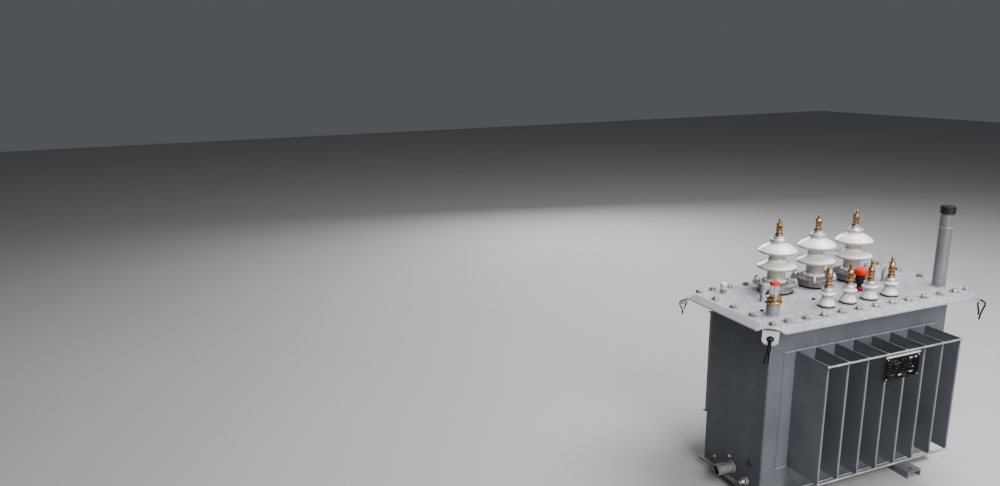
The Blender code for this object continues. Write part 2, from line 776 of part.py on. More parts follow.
def tap_changer(red, black, orange):
    """Fixed collar and housing, and the knob that turns on the housing."""
    centre = (TAP_X, TAP_Y, lid_seat)
    collar = bmesh.new()
    turned(collar, centre, ((TAP_COLLAR_RADIUS, 0), (TAP_COLLAR_RADIUS, TAP_COLLAR_HEIGHT)))
    add_object("tap_collar", collar, red, math.radians(50))

    low = TAP_COLLAR_HEIGHT + SEAT_GAP
    high = low + TAP_HOUSING_HEIGHT
    housing = bmesh.new()
    profile = (
        (TAP_HOUSING_FOOT_RADIUS, low),
        (TAP_HOUSING_RADIUS, low + TAP_HOUSING_FOOT_HEIGHT),
        (TAP_HOUSING_RADIUS, high),
    )
    turned(housing, centre, profile)
    add_object("tap_housing", housing, black, math.radians(50))

    seat = high + TAP_RUNNING_GAP
    edge = TAP_KNOB_EDGE_RADIUS
    rim = knob_reach(TAP_KNOB_RADIUS)
    inner = TAP_KNOB_RADIUS - edge
    profile = ((inner, 0), (rim, edge), (rim, TAP_KNOB_HEIGHT - edge), (inner, TAP_KNOB_HEIGHT))
    knob = bmesh.new()
    turned(knob, (0, 0, 0), profile, TAP_KNOB_GROOVES * 4)
    thing = add_object("tap_knob", knob, orange, math.radians(50))
    thing.location = (TAP_X, TAP_Y, lid_seat + seat)


def lifting_lug(name, centre, look):
    """An arched plate on the lid, parallel to its long side."""
    x, middle = centre
    half = LIFT_WIDTH / 2
    arch = arc((0, LIFT_HEIGHT - half), half, 0, 180, ARC_STEPS * 2)
    outline = [(half, 0), *arch, (-half, 0)]
    shape = bmesh.new()
    faces = (middle - LIFT_THICKNESS / 2, middle + LIFT_THICKNESS / 2)
    rings = []
    for y in faces:
        rings.append([(x + across, y, lid_seat + level) for across, level in outline])
    loft(shape, rings)
    plate = add_object(name, shape, look)
    hole = bmesh.new()
    turn = Matrix.Rotation(-math.pi / 2, 4, "X")
    profile = ((LIFT_HOLE_RADIUS, -LIFT_THICKNESS), (LIFT_HOLE_RADIUS, LIFT_THICKNESS))
    turned(hole, (x, middle, lid_seat + LIFT_HOLE_HEIGHT), profile, turn=turn)
    combine(plate, name + "_hole", hole)


def thermometer_pocket(look):
    cap = hexagon(POCKET_CAP_WIDTH)
    high = POCKET_HEIGHT + POCKET_CAP_HEIGHT
    profile = (
        (POCKET_RADIUS, 0),
        (POCKET_RADIUS, POCKET_HEIGHT),
        (cap, POCKET_HEIGHT),
        (cap, high),
    )
    shape = bmesh.new()
    turned(shape, (POCKET_X, POCKET_Y, lid_seat), profile, NUT_SIDES)
    add_object("thermometer_pocket", shape, look)


def end_wall_piece(name, y, height, profile, look):
    """A turned piece that stands out of the left end wall."""
    shape = bmesh.new()
    outward = Matrix.Rotation(-math.pi / 2, 4, "Y")
    turned(shape, (-wall_x - SEAT_GAP, y, height), profile, NUT_SIDES, outward)
    add_object(name, shape, look, math.radians(50))


def drain_valve(look):
    """Drain stub with a collar at the wall and a hexagon plug at its end."""
    plug = hexagon(DRAIN_NUT_WIDTH)
    plug_start = DRAIN_LENGTH - DRAIN_NUT_LENGTH
    profile = (
        (DRAIN_COLLAR_RADIUS, 0),
        (DRAIN_COLLAR_RADIUS, DRAIN_COLLAR_LENGTH),
        (DRAIN_RADIUS, DRAIN_COLLAR_LENGTH),
        (DRAIN_RADIUS, plug_start),
        (plug, plug_start),
        (plug, DRAIN_LENGTH),
    )
    end_wall_piece("drain_valve", DRAIN_Y, DRAIN_HEIGHT, profile, look)


def earth_terminal(look):
    nut = hexagon(EARTH_NUT_WIDTH)
    nut_top = EARTH_BOSS_LENGTH + EARTH_NUT_LENGTH
    profile = (
        (EARTH_BOSS_RADIUS, 0),
        (EARTH_BOSS_RADIUS, EARTH_BOSS_LENGTH),
        (nut, EARTH_BOSS_LENGTH),
        (nut, nut_top),
        (EARTH_STUD_RADIUS, nut_top),
        (EARTH_STUD_RADIUS, EARTH_LENGTH),
    )
    end_wall_piece("earth_terminal", EARTH_Y, EARTH_HEIGHT, profile, look)


def nameplate(metal, black):
    """A plate on a sheet bracket against the fins' edges, its bent ledge under the upper rod."""
    back = -(fin_tip + SEAT_GAP)
    width = PLATE_WIDTH + BRACKET_BORDER * 2
    low = PLATE_TOP - PLATE_HEIGHT - BRACKET_BORDER
    high = PLATE_TOP + BRACKET_TOP_BORDER
    section = (
        (back, low),
        (back, high),
        (back - BRACKET_LEDGE, high),
        (back - BRACKET_LEDGE, high - BRACKET_SHEET),
        (back - BRACKET_SHEET, high - BRACKET_SHEET),
        (back - BRACKET_SHEET, low),
    )
    bracket = bmesh.new()
    ends = (PLATE_X - width / 2, PLATE_X + width / 2)
    loft(bracket, [[(x, y, level) for y, level in section] for x in ends])
    add_object("nameplate_bracket", bracket, metal)
    plate = bmesh.new()
    face = back - BRACKET_SHEET - SEAT_GAP - PLATE_THICKNESS / 2
    middle = PLATE_TOP - PLATE_HEIGHT / 2
    box(plate, (PLATE_X, face, middle), (PLATE_WIDTH, PLATE_THICKNESS, PLATE_HEIGHT))
    add_object("nameplate", plate, black)


def build():
    clear_scene()
    tank_paint = material("tank_paint", (0.23, 0.26, 0.30), 0.55)
    lid_paint = material("lid_paint", (0.50, 0.52, 0.55), 0.50)
    rubber = material("rubber", (0.02, 0.02, 0.02), 0.70)
    glaze = material("porcelain_glaze", (0.80, 0.77, 0.70), 0.15)
    brass = material("brass", (0.55, 0.36, 0.16), 0.40, 1.0)
    light_metal = material("light_metal", (0.70, 0.71, 0.72), 0.35, 1.0)
    black_plastic = material("black_plastic", (0.02, 0.02, 0.02), 0.45)
    glass = material("gauge_glass", (0.75, 0.80, 0.80), 0.08)
    red = material("red_plastic", (0.60, 0.08, 0.06), 0.45)
    orange = material("orange_plastic", (0.85, 0.14, 0.02), 0.40)
    black_plate = material("black_plate", (0.03, 0.03, 0.03), 0.40)

    tank_body(tank_paint)
    tank_rim(tank_paint)
    tank_bottom_plate(tank_paint)
    lid_gasket(rubber)
    lid(lid_paint)
    for name, sign_x, sign_y in CORNERS:
        corner_lug(f"{name}_corner_lug", sign_x, sign_y, lid_paint)
    fin_panel("front_fin_panel", -1, tank_paint)
    fin_panel("back_fin_panel", 1, tank_paint)
    foot("left_foot", -FOOT_SPACING / 2, tank_paint)
    foot("right_foot", FOOT_SPACING / 2, tank_paint)

    for number, centre in enumerate(hv_positions(), 1):
        hv_insulator(f"hv_insulator_{number}", centre, glaze)
        hv_clamp(f"hv_clamp_{number}", centre, light_metal)
        base = HV_INSULATOR_TOP + SEAT_GAP
        cap = (HV_CAP_RADIUS, HV_CAP_HEIGHT)
        name = f"hv_terminal_{number}"
        terminal(name, centre, base, cap, HV_SEAT_NUT_HEIGHT, HV_STUD_TOP, brass)
    for number, centre in enumerate(lv_positions(), 1):
        lv_insulator(f"lv_insulator_{number}", centre, glaze)
        base = LV_INSULATOR_TOP + SEAT_GAP * 2
        cap = (LV_CAP_RADIUS, LV_CAP_HEIGHT)
        name = f"lv_terminal_{number}"
        terminal(name, centre, base, cap, LV_SEAT_NUT_HEIGHT, LV_STUD_TOP, brass)

    filler_pipe(tank_paint)
    filler_cap(black_plastic)
    oil_gauge(tank_paint, brass, glass, red)
    tap_changer(red, black_plastic, orange)
    lifting_lug("left_lifting_lug", LEFT_LIFT_PLACE, lid_paint)
    lifting_lug("right_lifting_lug", RIGHT_LIFT_PLACE, lid_paint)
    thermometer_pocket(light_metal)
    drain_valve(tank_paint)
    earth_terminal(light_metal)
    nameplate(light_metal, black_plate)


build()
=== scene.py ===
"""Finishes, fasteners and fittings of a small oil-filled distribution transformer."""
import math

import bpy
from mathutils import Matrix, Vector


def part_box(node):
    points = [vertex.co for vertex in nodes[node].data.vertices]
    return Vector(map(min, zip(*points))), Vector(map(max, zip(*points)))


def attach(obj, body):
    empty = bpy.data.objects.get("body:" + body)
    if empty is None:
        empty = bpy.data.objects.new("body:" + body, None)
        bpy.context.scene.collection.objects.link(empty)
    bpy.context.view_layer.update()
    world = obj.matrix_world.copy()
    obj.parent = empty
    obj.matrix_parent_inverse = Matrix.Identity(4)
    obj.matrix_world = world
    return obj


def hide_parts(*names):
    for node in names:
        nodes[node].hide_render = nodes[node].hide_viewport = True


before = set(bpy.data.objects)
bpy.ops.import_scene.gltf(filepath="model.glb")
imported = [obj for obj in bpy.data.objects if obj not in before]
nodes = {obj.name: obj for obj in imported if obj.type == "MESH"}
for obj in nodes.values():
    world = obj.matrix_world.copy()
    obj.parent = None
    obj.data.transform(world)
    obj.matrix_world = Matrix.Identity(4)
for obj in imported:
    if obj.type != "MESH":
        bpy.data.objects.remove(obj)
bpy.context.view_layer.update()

MM = 0.001
FIXED = "transformer"
TURNING = "tap_knob"

# Camera, from the lid's corners and edges in the picture
CAMERA_PLACE = (-2.026, -1.887, 1.484)
CAMERA_PITCH = 0.239
CAMERA_YAW = 0.378
CAMERA_ROLL = -0.01732
CAMERA_LENS = 26.31
SENSOR_WIDTH = 36.0

# Heights and rows that the fittings follow
LID_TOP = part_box("filler_pipe")[0].z
RIM_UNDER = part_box("tank_rim")[0].z
BOLT_ROW_X = 0.435
BOLT_ROW_Y = 0.187
BOLT_PITCH_X = 0.075
BOLT_PITCH_Y = 0.0935
INNER_BOLTS_EACH_WAY = 5
LUG_HOLE = (0.4667, 0.2167, 0.6417)
LUG_HOLE_RADIUS = 0.0118
LUG_SLOPE = math.radians(38.5)
LUG_HOLE_TO_TIP = 0.0205
LV_NUT_LIFTS = (18.0, 3.0, 0.0, 6.0)
FIN_COUNT = 8
FIN_PITCH = 0.084
FIN_TIP = 0.2923
FIN_ROD_REACH = 0.302
PANELS = ((-1, "front"), (1, "back"))
PIPE_BEAD_RADIUS = 0.0226
LID_PLUGS = ((-0.3751, -0.0716), (-0.1326, -0.0493))
END_WALL_SCREWS = ((0.084, 0.069), (0.004, 0.113))
EARTH_SIGN = (-0.092, 0.135)

# Bands over which the enamels change, as distances from the middle or heights
FIN_PACK_END = (0.315, 0.285)
WALL_FACE = (0.150, 0.151)
FIN_ROOT = (0.175, 0.160)
END_WALL_FACE = (0.4015, 0.4025)
END_LIP = (0.4615, 0.4635)
LONG_ROW_END = (0.400, 0.412)
LID_FACE = (0.6755, 0.6768)


# Shader values

class Shade:
    """A value in a material's node tree; arithmetic on it adds the nodes."""

    def __init__(self, tree, socket):
        self.tree = tree
        self.socket = socket

    def node(self, kind, inputs=(), **settings):
        """Adds a node, its settings first and then the values or links of its sockets."""
        made = self.tree.nodes.new(kind)
        for key, value in settings.items():
            setattr(made, key, value)
        for key, value in dict(inputs).items():
            self.feed(made.inputs[key], value)
        return made

    def feed(self, socket, value):
        if isinstance(value, Shade):
            self.tree.links.new(value.socket, socket)
        else:
            socket.default_value = value

    def out(self, output, kind, inputs=(), **settings):
        """Adds a node and gives the value of one of its outputs."""
        return Shade(self.tree, self.node(kind, inputs, **settings).outputs[output])

    def parts(self):
        """The x, y and z of a vector."""
        node = self.node("ShaderNodeSeparateXYZ", {0: self})
        return [Shade(self.tree, socket) for socket in node.outputs]

    def math(self, operation, *values, clamp=False):
        values = enumerate(values)
        return self.out(0, "ShaderNodeMath", values, operation=operation, use_clamp=clamp)

    def __add__(self, other):
        return self.math("ADD", self, other)

    __radd__ = __add__

    def __sub__(self, other):
        return self.math("SUBTRACT", self, other)

    def __rsub__(self, other):
        return self.math("SUBTRACT", other, self)

    def __mul__(self, other):
        return self.math("MULTIPLY", self, other)

    __rmul__ = __mul__

    def __pow__(self, other):
        return self.math("POWER", self, other)

    def __abs__(self):
        return self.math("ABSOLUTE", self)

    def clip(self):
        return self.math("ADD", self, 0.0, clamp=True)

    def between(self, low, high):
        """0 below low, 1 above high, smooth between them; turned round if low is the larger."""
        values = {"Value": self, "From Min": low, "From Max": high}
        return self.out("Result", "ShaderNodeMapRange", values, interpolation_type="SMOOTHSTEP")

    def repeat(self, pitch):
        """Distance to the nearest multiple of the pitch."""
        return self.math("PINGPONG", self + pitch * 1000, pitch / 2)


class Finish:
    """A procedural material; its patterns lie on the piece's own coordinates, in metres."""

    def __init__(self, name, specular=0.5, **fixed):
        self.material = bpy.data.materials.new(name)
        self.material.use_nodes = True
        self.start = Shade(self.material.node_tree, None)
        self.shader = self.start.tree.nodes["Principled BSDF"]
        self.shader.inputs["Specular IOR Level"].default_value = specular
        for key, value in fixed.items():
            self.shader.inputs[key.replace("_", " ").title()].default_value = value
        self.place = self.start.out("Object", "ShaderNodeTexCoord")
        self.x, self.y, self.z = self.place.parts()

    def noise(self, scale, detail=2.0, stretch=(1, 1, 1), shift=0.0):
        """Soft noise from 0 to 1 with features about 1/scale metres across."""
        values = {"Vector": self.place, "Scale": stretch, "Location": (shift,) * 3}
        mapped = self.start.out(0, "ShaderNodeMapping", values)
        values = {"Vector": mapped, "Scale": scale, "Detail": detail}
        return self.start.out(0, "ShaderNodeTexNoise", values)

    def cells(self, scale):
        """Distance to scattered points about 1/scale metres apart."""
        values = {"Vector": self.place, "Scale": scale}
        return self.start.out("Distance", "ShaderNodeTexVoronoi", values)

    def mix(self, factor, first, second):
        """Colour between two colours; a colour is three numbers or a value of this class."""
        first, second = [v if isinstance(v, Shade) else (*v, 1.0) for v in (first, second)]
        values = {0: factor, 6: first, 7: second}
        return self.start.out(2, "ShaderNodeMix", values, data_type="RGBA")

    def colour(self, value):
        self.start.feed(self.shader.inputs["Base Color"], value)

    def colour_so_far(self):
        return Shade(self.start.tree, self.shader.inputs["Base Color"].links[0].from_socket)

    def rough(self, value):
        self.start.feed(self.shader.inputs["Roughness"], value)

    def relief(self, height, depth):
        """Bump from a height pattern, depth in metres for a step from 0 to 1."""
        values = {"Height": height, "Distance": depth}
        self.start.feed(self.shader.inputs["Normal"], self.start.out(0, "ShaderNodeBump", values))


def tank_enamel(name, dark=(0.098, 0.107, 0.125), light=(0.132, 0.141, 0.160), specular=0.5):
    """Blue-grey enamel: soft mottling, dust low down but less behind the fins, painted shade below
    the fins and on the end walls, most under the lid, lighter fin tips and rust specks at the foot."""
    look = Finish(name, specular=specular)
    broad = look.noise(6.0, 4.0)
    runs = look.noise(1.0, 3.0, stretch=(22, 22, 2.0))
    shade = look.mix((broad * 0.75 + runs * 0.25).between(0.34, 0.68), dark, light)
    dust_edge = look.noise(22.0, 4.0, shift=3.0)
    # Behind the fins the dust is thinned, partly as dust the fins keep off and partly as painted
    # shade; the wall below them is painted darker as painted shade.
    behind_fins = abs(look.x).between(*FIN_PACK_END) * abs(look.y).between(*WALL_FACE)
    dust = (look.z + dust_edge * 0.12).between(0.17, 0.04) * (1.0 - behind_fins * 0.9) * 0.40
    shade = look.mix(dust, shade, (0.22, 0.21, 0.19))
    painted_shade_under_fins = behind_fins * look.z.between(0.20, 0.12) * abs(look.y).between(*FIN_ROOT)
    shade = look.mix(painted_shade_under_fins * 0.55, shade, (0.030, 0.030, 0.036))
    # End walls painted darker, most of all under the lid: painted shade.
    end_walls = abs(look.x).between(*END_WALL_FACE)
    painted_shade_end_walls = end_walls * (look.z.between(0.40, 0.66) * 0.45 + 0.25)
    shade = look.mix(painted_shade_end_walls, shade, (0.030, 0.034, 0.042))
    film = look.noise(55.0, 5.0, shift=9.0).between(0.52, 0.80) * 0.10
    shade = look.mix(film, shade, (0.36, 0.37, 0.38))
    # Fin tips a little lighter.
    tips = abs(look.y).between(FIN_TIP - 0.0022, FIN_TIP - 0.0008)
    shade = look.mix(tips * 0.22, shade, (0.36, 0.38, 0.41))
    rust = look.noise(95.0, 3.0, shift=17.0).between(0.68, 0.74) * look.z.between(0.12, 0.02)
    shade = look.mix(rust, shade, (0.16, 0.06, 0.025))
    look.colour(shade)
    look.rough(0.40 + broad * 0.14 + dust * 0.5 + rust * 0.3)
    look.relief(look.noise(420.0, 1.0) + rust * 2.0, 0.00006)
    return look


def worn_lit_enamel():
    """Enamel thinned to a lighter grey on beads and ridges, which is also painted light on their
    shaded sides.
    """
    look = Finish("worn_lit_enamel")
    patches = look.noise(70.0, 4.0)
    look.colour(look.mix(patches.between(0.35, 0.65), (0.24, 0.25, 0.27), (0.42, 0.43, 0.45)))
    look.rough(0.34 + patches * 0.2)
    look.relief(look.noise(500.0, 2.0), 0.0001)
    return look


def lid_enamel(name="lid_enamel", with_fittings=True):
    """Light grey enamel, weathered: dust, dried drops, grit, dirt and painted shade round the bolts,
    painted light on the sloped ends.
    """
    look = Finish(name)
    broad = look.noise(7.0, 5.0)
    fine = look.noise(75.0, 4.0, shift=14.0)
    grit = look.noise(150.0, 3.0, shift=19.0)
    smears = look.noise(1.0, 4.0, stretch=(16, 48, 16), shift=8.0)
    specks = look.noise(230.0, 3.0, shift=4.0)
    drops = look.cells(95.0)
    shade = look.mix(broad.between(0.3, 0.7), (0.290, 0.297, 0.330), (0.375, 0.383, 0.420))
    shade = look.mix(smears.between(0.50, 0.72) * 0.40, shade, (0.30, 0.305, 0.315))
    shade = look.mix(fine.between(0.52, 0.66) * 0.38, shade, (0.56, 0.57, 0.61))
    shade = look.mix(fine.between(0.46, 0.34) * 0.42, shade, (0.24, 0.245, 0.255))
    lying = look.z.between(LID_TOP - 0.010, LID_TOP - 0.001) * 0.7 + 0.3
    shade = look.mix(grit.between(0.53, 0.66) * lying * 0.46, shade, (0.72, 0.73, 0.77))
    shade = look.mix(grit.between(0.46, 0.36) * lying * 0.48, shade, (0.17, 0.175, 0.185))
    rings = drops.between(0.36, 0.28) * drops.between(0.18, 0.26)
    rings = rings * look.noise(11.0, 2.0, shift=30.0).between(0.45, 0.60)
    shade = look.mix(rings * 0.35, shade, (0.72, 0.73, 0.75))
    shade = look.mix(specks.between(0.60, 0.67) * 0.85, shade, (0.09, 0.09, 0.09))
    grime_and_shade = 0.0
    if with_fittings:
        # The lid's sloped ends painted lighter: painted light.
        painted_light_lips = abs(look.x).between(*END_LIP)
        shade = look.mix(painted_light_lips * 0.55, shade, (0.60, 0.61, 0.65))
        across, along = abs(abs(look.y) - BOLT_ROW_Y), look.x.repeat(BOLT_PITCH_X)
        past_row = abs(look.x).between(*LONG_ROW_END)
        long_rows = (across * across + along * along) ** 0.5 + past_row
        across, along = abs(abs(look.x) - BOLT_ROW_X), look.y.repeat(BOLT_PITCH_Y)
        short_rows = (across * across + along * along) ** 0.5
        # Darker round the bolts: dirt, and painted shade round their heads.
        near = look.start.math("MINIMUM", long_rows, short_rows) + (fine - 0.5) * 0.018
        grime_and_shade = near.between(0.022, 0.013) * look.z.between(*LID_FACE)
        shade = look.mix(grime_and_shade * 0.66, shade, (0.11, 0.11, 0.11))
        collars = look.z.between(LID_TOP + 0.0008, LID_TOP + 0.0016)
        dark_grey = look.mix(fine.between(0.35, 0.65), (0.205, 0.200, 0.185), (0.265, 0.260, 0.240))
        shade = look.mix(collars, shade, dark_grey)
    look.colour(shade)
    look.rough(0.32 + broad * 0.20 + fine * 0.16 + grime_and_shade * 0.2)
    look.relief(look.noise(420.0, 1.0) + specks * 0.8, 0.00006)
    return look


def porcelain():
    """Cream glaze: glossy, a little uneven, with hairlines and grit specks; upward faces painted near
    white as painted light, the sides greyer as painted shade.
    """
    look = Finish("porcelain_glaze", coat_weight=0.5, coat_roughness=0.08)
    broad = look.noise(24.0, 3.0)
    facing = look.start.out("Normal", "ShaderNodeNewGeometry")
    # Faces turned up painted lighter than the sides: painted light and shade.
    upward = facing.parts()[2].between(0.10, 0.50)
    shade = look.mix(broad.between(0.3, 0.7), (0.355, 0.325, 0.280), (0.425, 0.395, 0.345))
    painted_light_tops = look.mix(broad.between(0.3, 0.7), (0.93, 0.92, 0.90), (0.98, 0.975, 0.965))
    shade = look.mix(upward, shade, painted_light_tops)
    film = look.noise(48.0, 5.0, shift=5.0).between(0.50, 0.74) * 0.26
    shade = look.mix(film, shade, (0.56, 0.53, 0.47))
    specks = look.noise(230.0, 2.0, shift=2.0).between(0.635, 0.675)
    hairlines = look.noise(1.0, 2.0, stretch=(60, 190, 80), shift=6.0).between(0.62, 0.68)
    shade = look.mix((specks + hairlines * 0.6).clip() * 0.62, shade, (0.22, 0.18, 0.15))
    look.colour(shade)
    look.rough(0.18 + film * 0.9 + specks * 0.3)
    look.relief(look.noise(30.0, 1.0), 0.0004)
    return look


def metal_finish(name, bright, dull, roughness, scale, grain=(1, 1, 1), metallic=1.0):
    """A bare metal with tarnish in patches and fine tool marks."""
    look = Finish(name, metallic=metallic)
    patches = look.noise(scale * 0.35, 4.0)
    marks = look.noise(scale, 3.0, stretch=grain, shift=7.0)
    tarnish = (patches * 0.7 + marks * 0.3).between(0.38, 0.66)
    look.colour(look.mix(tarnish, bright, dull))
    look.rough(roughness + tarnish * 0.16)
    look.relief(marks, 0.00005)
    return look


def rod_paint():
    """Rods of the fins: thin light paint, rubbed and chipped."""
    look = Finish("rod_paint", metallic=0.35)
    rubbed = look.noise(60.0, 4.0, stretch=(0.3, 1, 1))
    chips = look.noise(180.0, 3.0, shift=5.0).between(0.62, 0.70)
    shade = look.mix(rubbed.between(0.35, 0.65), (0.24, 0.25, 0.27), (0.40, 0.41, 0.44))
    look.colour(look.mix(chips * 0.7, shade, (0.14, 0.13, 0.13)))
    look.rough(0.40 + rubbed * 0.2)
    look.relief(chips, -0.0001)
    return look


def bare_pipe():
    """Zinc-grey pipe with rust-brown in its thread."""
    look = Finish("bare_pipe", metallic=0.3)
    patches = look.noise(110.0, 4.0)
    stains = look.noise(45.0, 4.0, shift=12.0).between(0.52, 0.72)
    shade = look.mix(patches.between(0.35, 0.65), (0.150, 0.150, 0.157), (0.225, 0.225, 0.232))
    look.colour(look.mix(stains * 0.6, shade, (0.09, 0.075, 0.065)))
    look.rough(0.45 + patches * 0.2)
    look.relief(patches, 0.0001)
    return look


def rubber():
    look = Finish("rubber", specular=0.06)
    bloom = look.noise(120.0, 4.0)
    look.colour(look.mix(bloom.between(0.4, 0.8), (0.003, 0.003, 0.004), (0.013, 0.013, 0.013)))
    look.rough(0.62 + bloom * 0.25)
    look.relief(look.noise(600.0, 2.0), 0.00008)
    return look


def plastic(name, fresh, faded, roughness, specular):
    """Moulded plastic, faded in patches and lightly pitted."""
    look = Finish(name, specular=specular)
    patches = look.noise(90.0, 4.0)
    look.colour(look.mix(patches.between(0.42, 0.75), fresh, faded))
    look.rough(roughness + patches * 0.18)
    look.relief(look.noise(700.0, 1.0), 0.00005)
    return look


def gauge_glass():
    """Clear glass with a thin film of dirt."""
    look = Finish("gauge_glass", transmission_weight=0.82)
    look.shader.inputs["IOR"].default_value = 1.47
    film = look.noise(150.0, 4.0).between(0.45, 0.8)
    look.colour(look.mix(film, (0.93, 0.95, 0.94), (0.78, 0.80, 0.78)))
    look.rough(0.03 + film * 0.20)
    return look


def plate_enamel():
    """Black enamel of the nameplate, dusty and rubbed."""
    look = Finish("plate_enamel", specular=0.03)
    rub = look.noise(60.0, 5.0)
    look.colour(look.mix(rub.between(0.5, 0.8), (0.003, 0.003, 0.003), (0.016, 0.015, 0.015)))
    look.rough(0.42 + rub * 0.25)
    look.relief(look.noise(500.0, 1.0), 0.00004)
    return look


def bracket_finish(ledge):
    """Bare metal on the bracket's top ledge, dark paint below it."""
    look = Finish("bracket_paint", metallic=0.2, specular=0.3)
    wear = look.noise(140.0, 4.0)
    bare = (look.z + (wear - 0.5) * 0.001).between(ledge - 0.0004, ledge + 0.0004)
    dark = look.mix(wear.between(0.45, 0.75), (0.010, 0.010, 0.011), (0.055, 0.055, 0.058))
    light = look.mix(wear.between(0.35, 0.70), (0.80, 0.81, 0.82), (0.55, 0.56, 0.57))
    look.colour(look.mix(bare, dark, light))
    look.rough(0.35 + wear * 0.25)
    look.relief(wear, 0.00006)
    return look


def plate_print(name, fresh, rubbed):
    """Silver of the nameplate's lines, partly worn away."""
    look = Finish(name, specular=0.3)
    wear = look.noise(170.0, 3.0)
    look.colour(look.mix(wear.between(0.42, 0.56), fresh, rubbed))
    look.rough(0.42 + wear * 0.2)
    return look


def sign_paint():
    look = Finish("sign_paint")
    chips = look.noise(300.0, 3.0)
    look.colour(look.mix(chips.between(0.5, 0.7), (0.012, 0.012, 0.013), (0.07, 0.07, 0.075)))
    look.rough(0.45 + chips * 0.2)
    return look


def sole_enamel():
    """The bottom plate: painted lighter than the tank as painted light on its top, and its edge
    painted dark as painted shade.
    """
    # Lighter than the tank's enamel, as painted light on the plate's top.
    look = tank_enamel("sole_enamel", (0.270, 0.280, 0.300), (0.360, 0.370, 0.390))
    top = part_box("tank_bottom_plate")[1].z
    # A band down the plate's edge painted dark: painted shade.
    edge = (look.z + look.noise(90.0, 3.0, shift=27.0) * 0.001).between(top - 0.0006, top - 0.0022)
    look.colour(look.mix(edge * 0.8, look.colour_so_far(), (0.06, 0.062, 0.068)))
    return look


def pipe_enamel():
    """The tank's enamel, with a brown stain of thread sealant below the cap."""
    look = tank_enamel("pipe_enamel", (0.132, 0.137, 0.152), (0.190, 0.196, 0.212))
    ragged = look.z + look.noise(120.0, 3.0, shift=21.0) * 0.008
    stain = ragged.between(LID_TOP + 0.264, LID_TOP + 0.269)
    look.colour(look.mix(stain * 0.8, look.colour_so_far(), (0.115, 0.052, 0.026)))
    return look


LOOKS = {
    "tank": tank_enamel("tank_enamel"),
    "wall": tank_enamel("wall_enamel", specular=0.22),
    "worn_lit": worn_lit_enamel(),
    "lid": lid_enamel(),
    "lug": lid_enamel("lug_enamel", False),
    "stub": tank_enamel("stub_enamel", (0.225, 0.230, 0.246), (0.305, 0.311, 0.326)),
    "bolt": metal_finish("weathered_steel", (0.55, 0.56, 0.57), (0.15, 0.15, 0.15), 0.38, 240.0),
    "pipe": pipe_enamel(),
    "sole": sole_enamel(),
    "porcelain": porcelain(),
    "brass": metal_finish("brass", (0.55, 0.335, 0.145), (0.16, 0.088, 0.038), 0.30, 300.0),
    "tarnished": metal_finish(
        "tarnished_brass", (0.34, 0.23, 0.16), (0.12, 0.085, 0.07), 0.36, 260.0
    ),
    "aluminium": metal_finish(
        "aluminium", (0.66, 0.67, 0.68), (0.34, 0.345, 0.35), 0.34, 260.0, (1, 1, 5)
    ),
    "satin": metal_finish(
        "satin_aluminium", (0.60, 0.61, 0.62), (0.30, 0.305, 0.31), 0.42, 200.0, metallic=0.65
    ),
    "cast": metal_finish("cast_aluminium", (0.40, 0.40, 0.385), (0.20, 0.20, 0.193), 0.46, 330.0),
    "zinc": metal_finish("zinc_steel", (0.74, 0.75, 0.77), (0.30, 0.30, 0.31), 0.28, 260.0),
    "rod": rod_paint(),
    "drain": bare_pipe(),
    "rubber": rubber(),
    "black": plastic("black_plastic", (0.006, 0.006, 0.007), (0.022, 0.022, 0.022), 0.50, 0.2),
    "red": plastic("red_plastic", (0.50, 0.020, 0.014), (0.54, 0.062, 0.046), 0.42, 0.15),
    "dark_red": plastic("dark_red_plastic", (0.30, 0.016, 0.018), (0.36, 0.05, 0.05), 0.45, 0.15),
    "orange": plastic("orange_plastic", (0.66, 0.022, 0.001), (0.68, 0.042, 0.005), 0.45, 0.12),
    "pale": plastic("pale_zinc", (0.78, 0.78, 0.77), (0.52, 0.52, 0.51), 0.38, 0.5),
    "glass": gauge_glass(),
    "plate": plate_enamel(),
    "bracket": bracket_finish(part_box("nameplate")[1].z + 0.0012),
    "print": plate_print("plate_print", (0.080, 0.074, 0.068), (0.006, 0.006, 0.006)),
    "print_bright": plate_print("plate_print_bright", (0.62, 0.61, 0.60), (0.22, 0.22, 0.21)),
    "sign": sign_paint(),
}


# Modelling by hand: each helper leaves one finished object at the origin

def deselect():
    if bpy.context.mode != "OBJECT":
        bpy.ops.object.mode_set(mode="OBJECT")
    bpy.ops.object.select_all(action="DESELECT")


def choose(*pieces):
    """Selects these objects alone, the first of them active."""
    deselect()
    for piece in pieces:
        piece.select_set(True)
    bpy.context.view_layer.objects.active = pieces[0]


def edit(piece):
    choose(piece)
    bpy.ops.object.mode_set(mode="EDIT")
    bpy.ops.mesh.select_all(action="SELECT")


def tidy_normals():
    bpy.ops.mesh.select_all(action="SELECT")
    bpy.ops.mesh.normals_make_consistent(inside=False)
    bpy.ops.object.mode_set(mode="OBJECT")


def smooth(piece, degrees):
    choose(piece)
    bpy.ops.object.shade_smooth_by_angle(angle=math.radians(degrees))


def soften(piece, width):
    """Rounds the sharp edges."""
    bevel = piece.modifiers.new("edge", "BEVEL")
    bevel.width = width
    bevel.segments = 2
    bevel.limit_method = "ANGLE"
    bevel.angle_limit = math.radians(35)
    choose(piece)
    bpy.ops.object.modifier_apply(modifier=bevel.name)


def painted(piece, look):
    piece.data.materials.clear()
    piece.data.materials.append(LOOKS[look].material)
    return piece


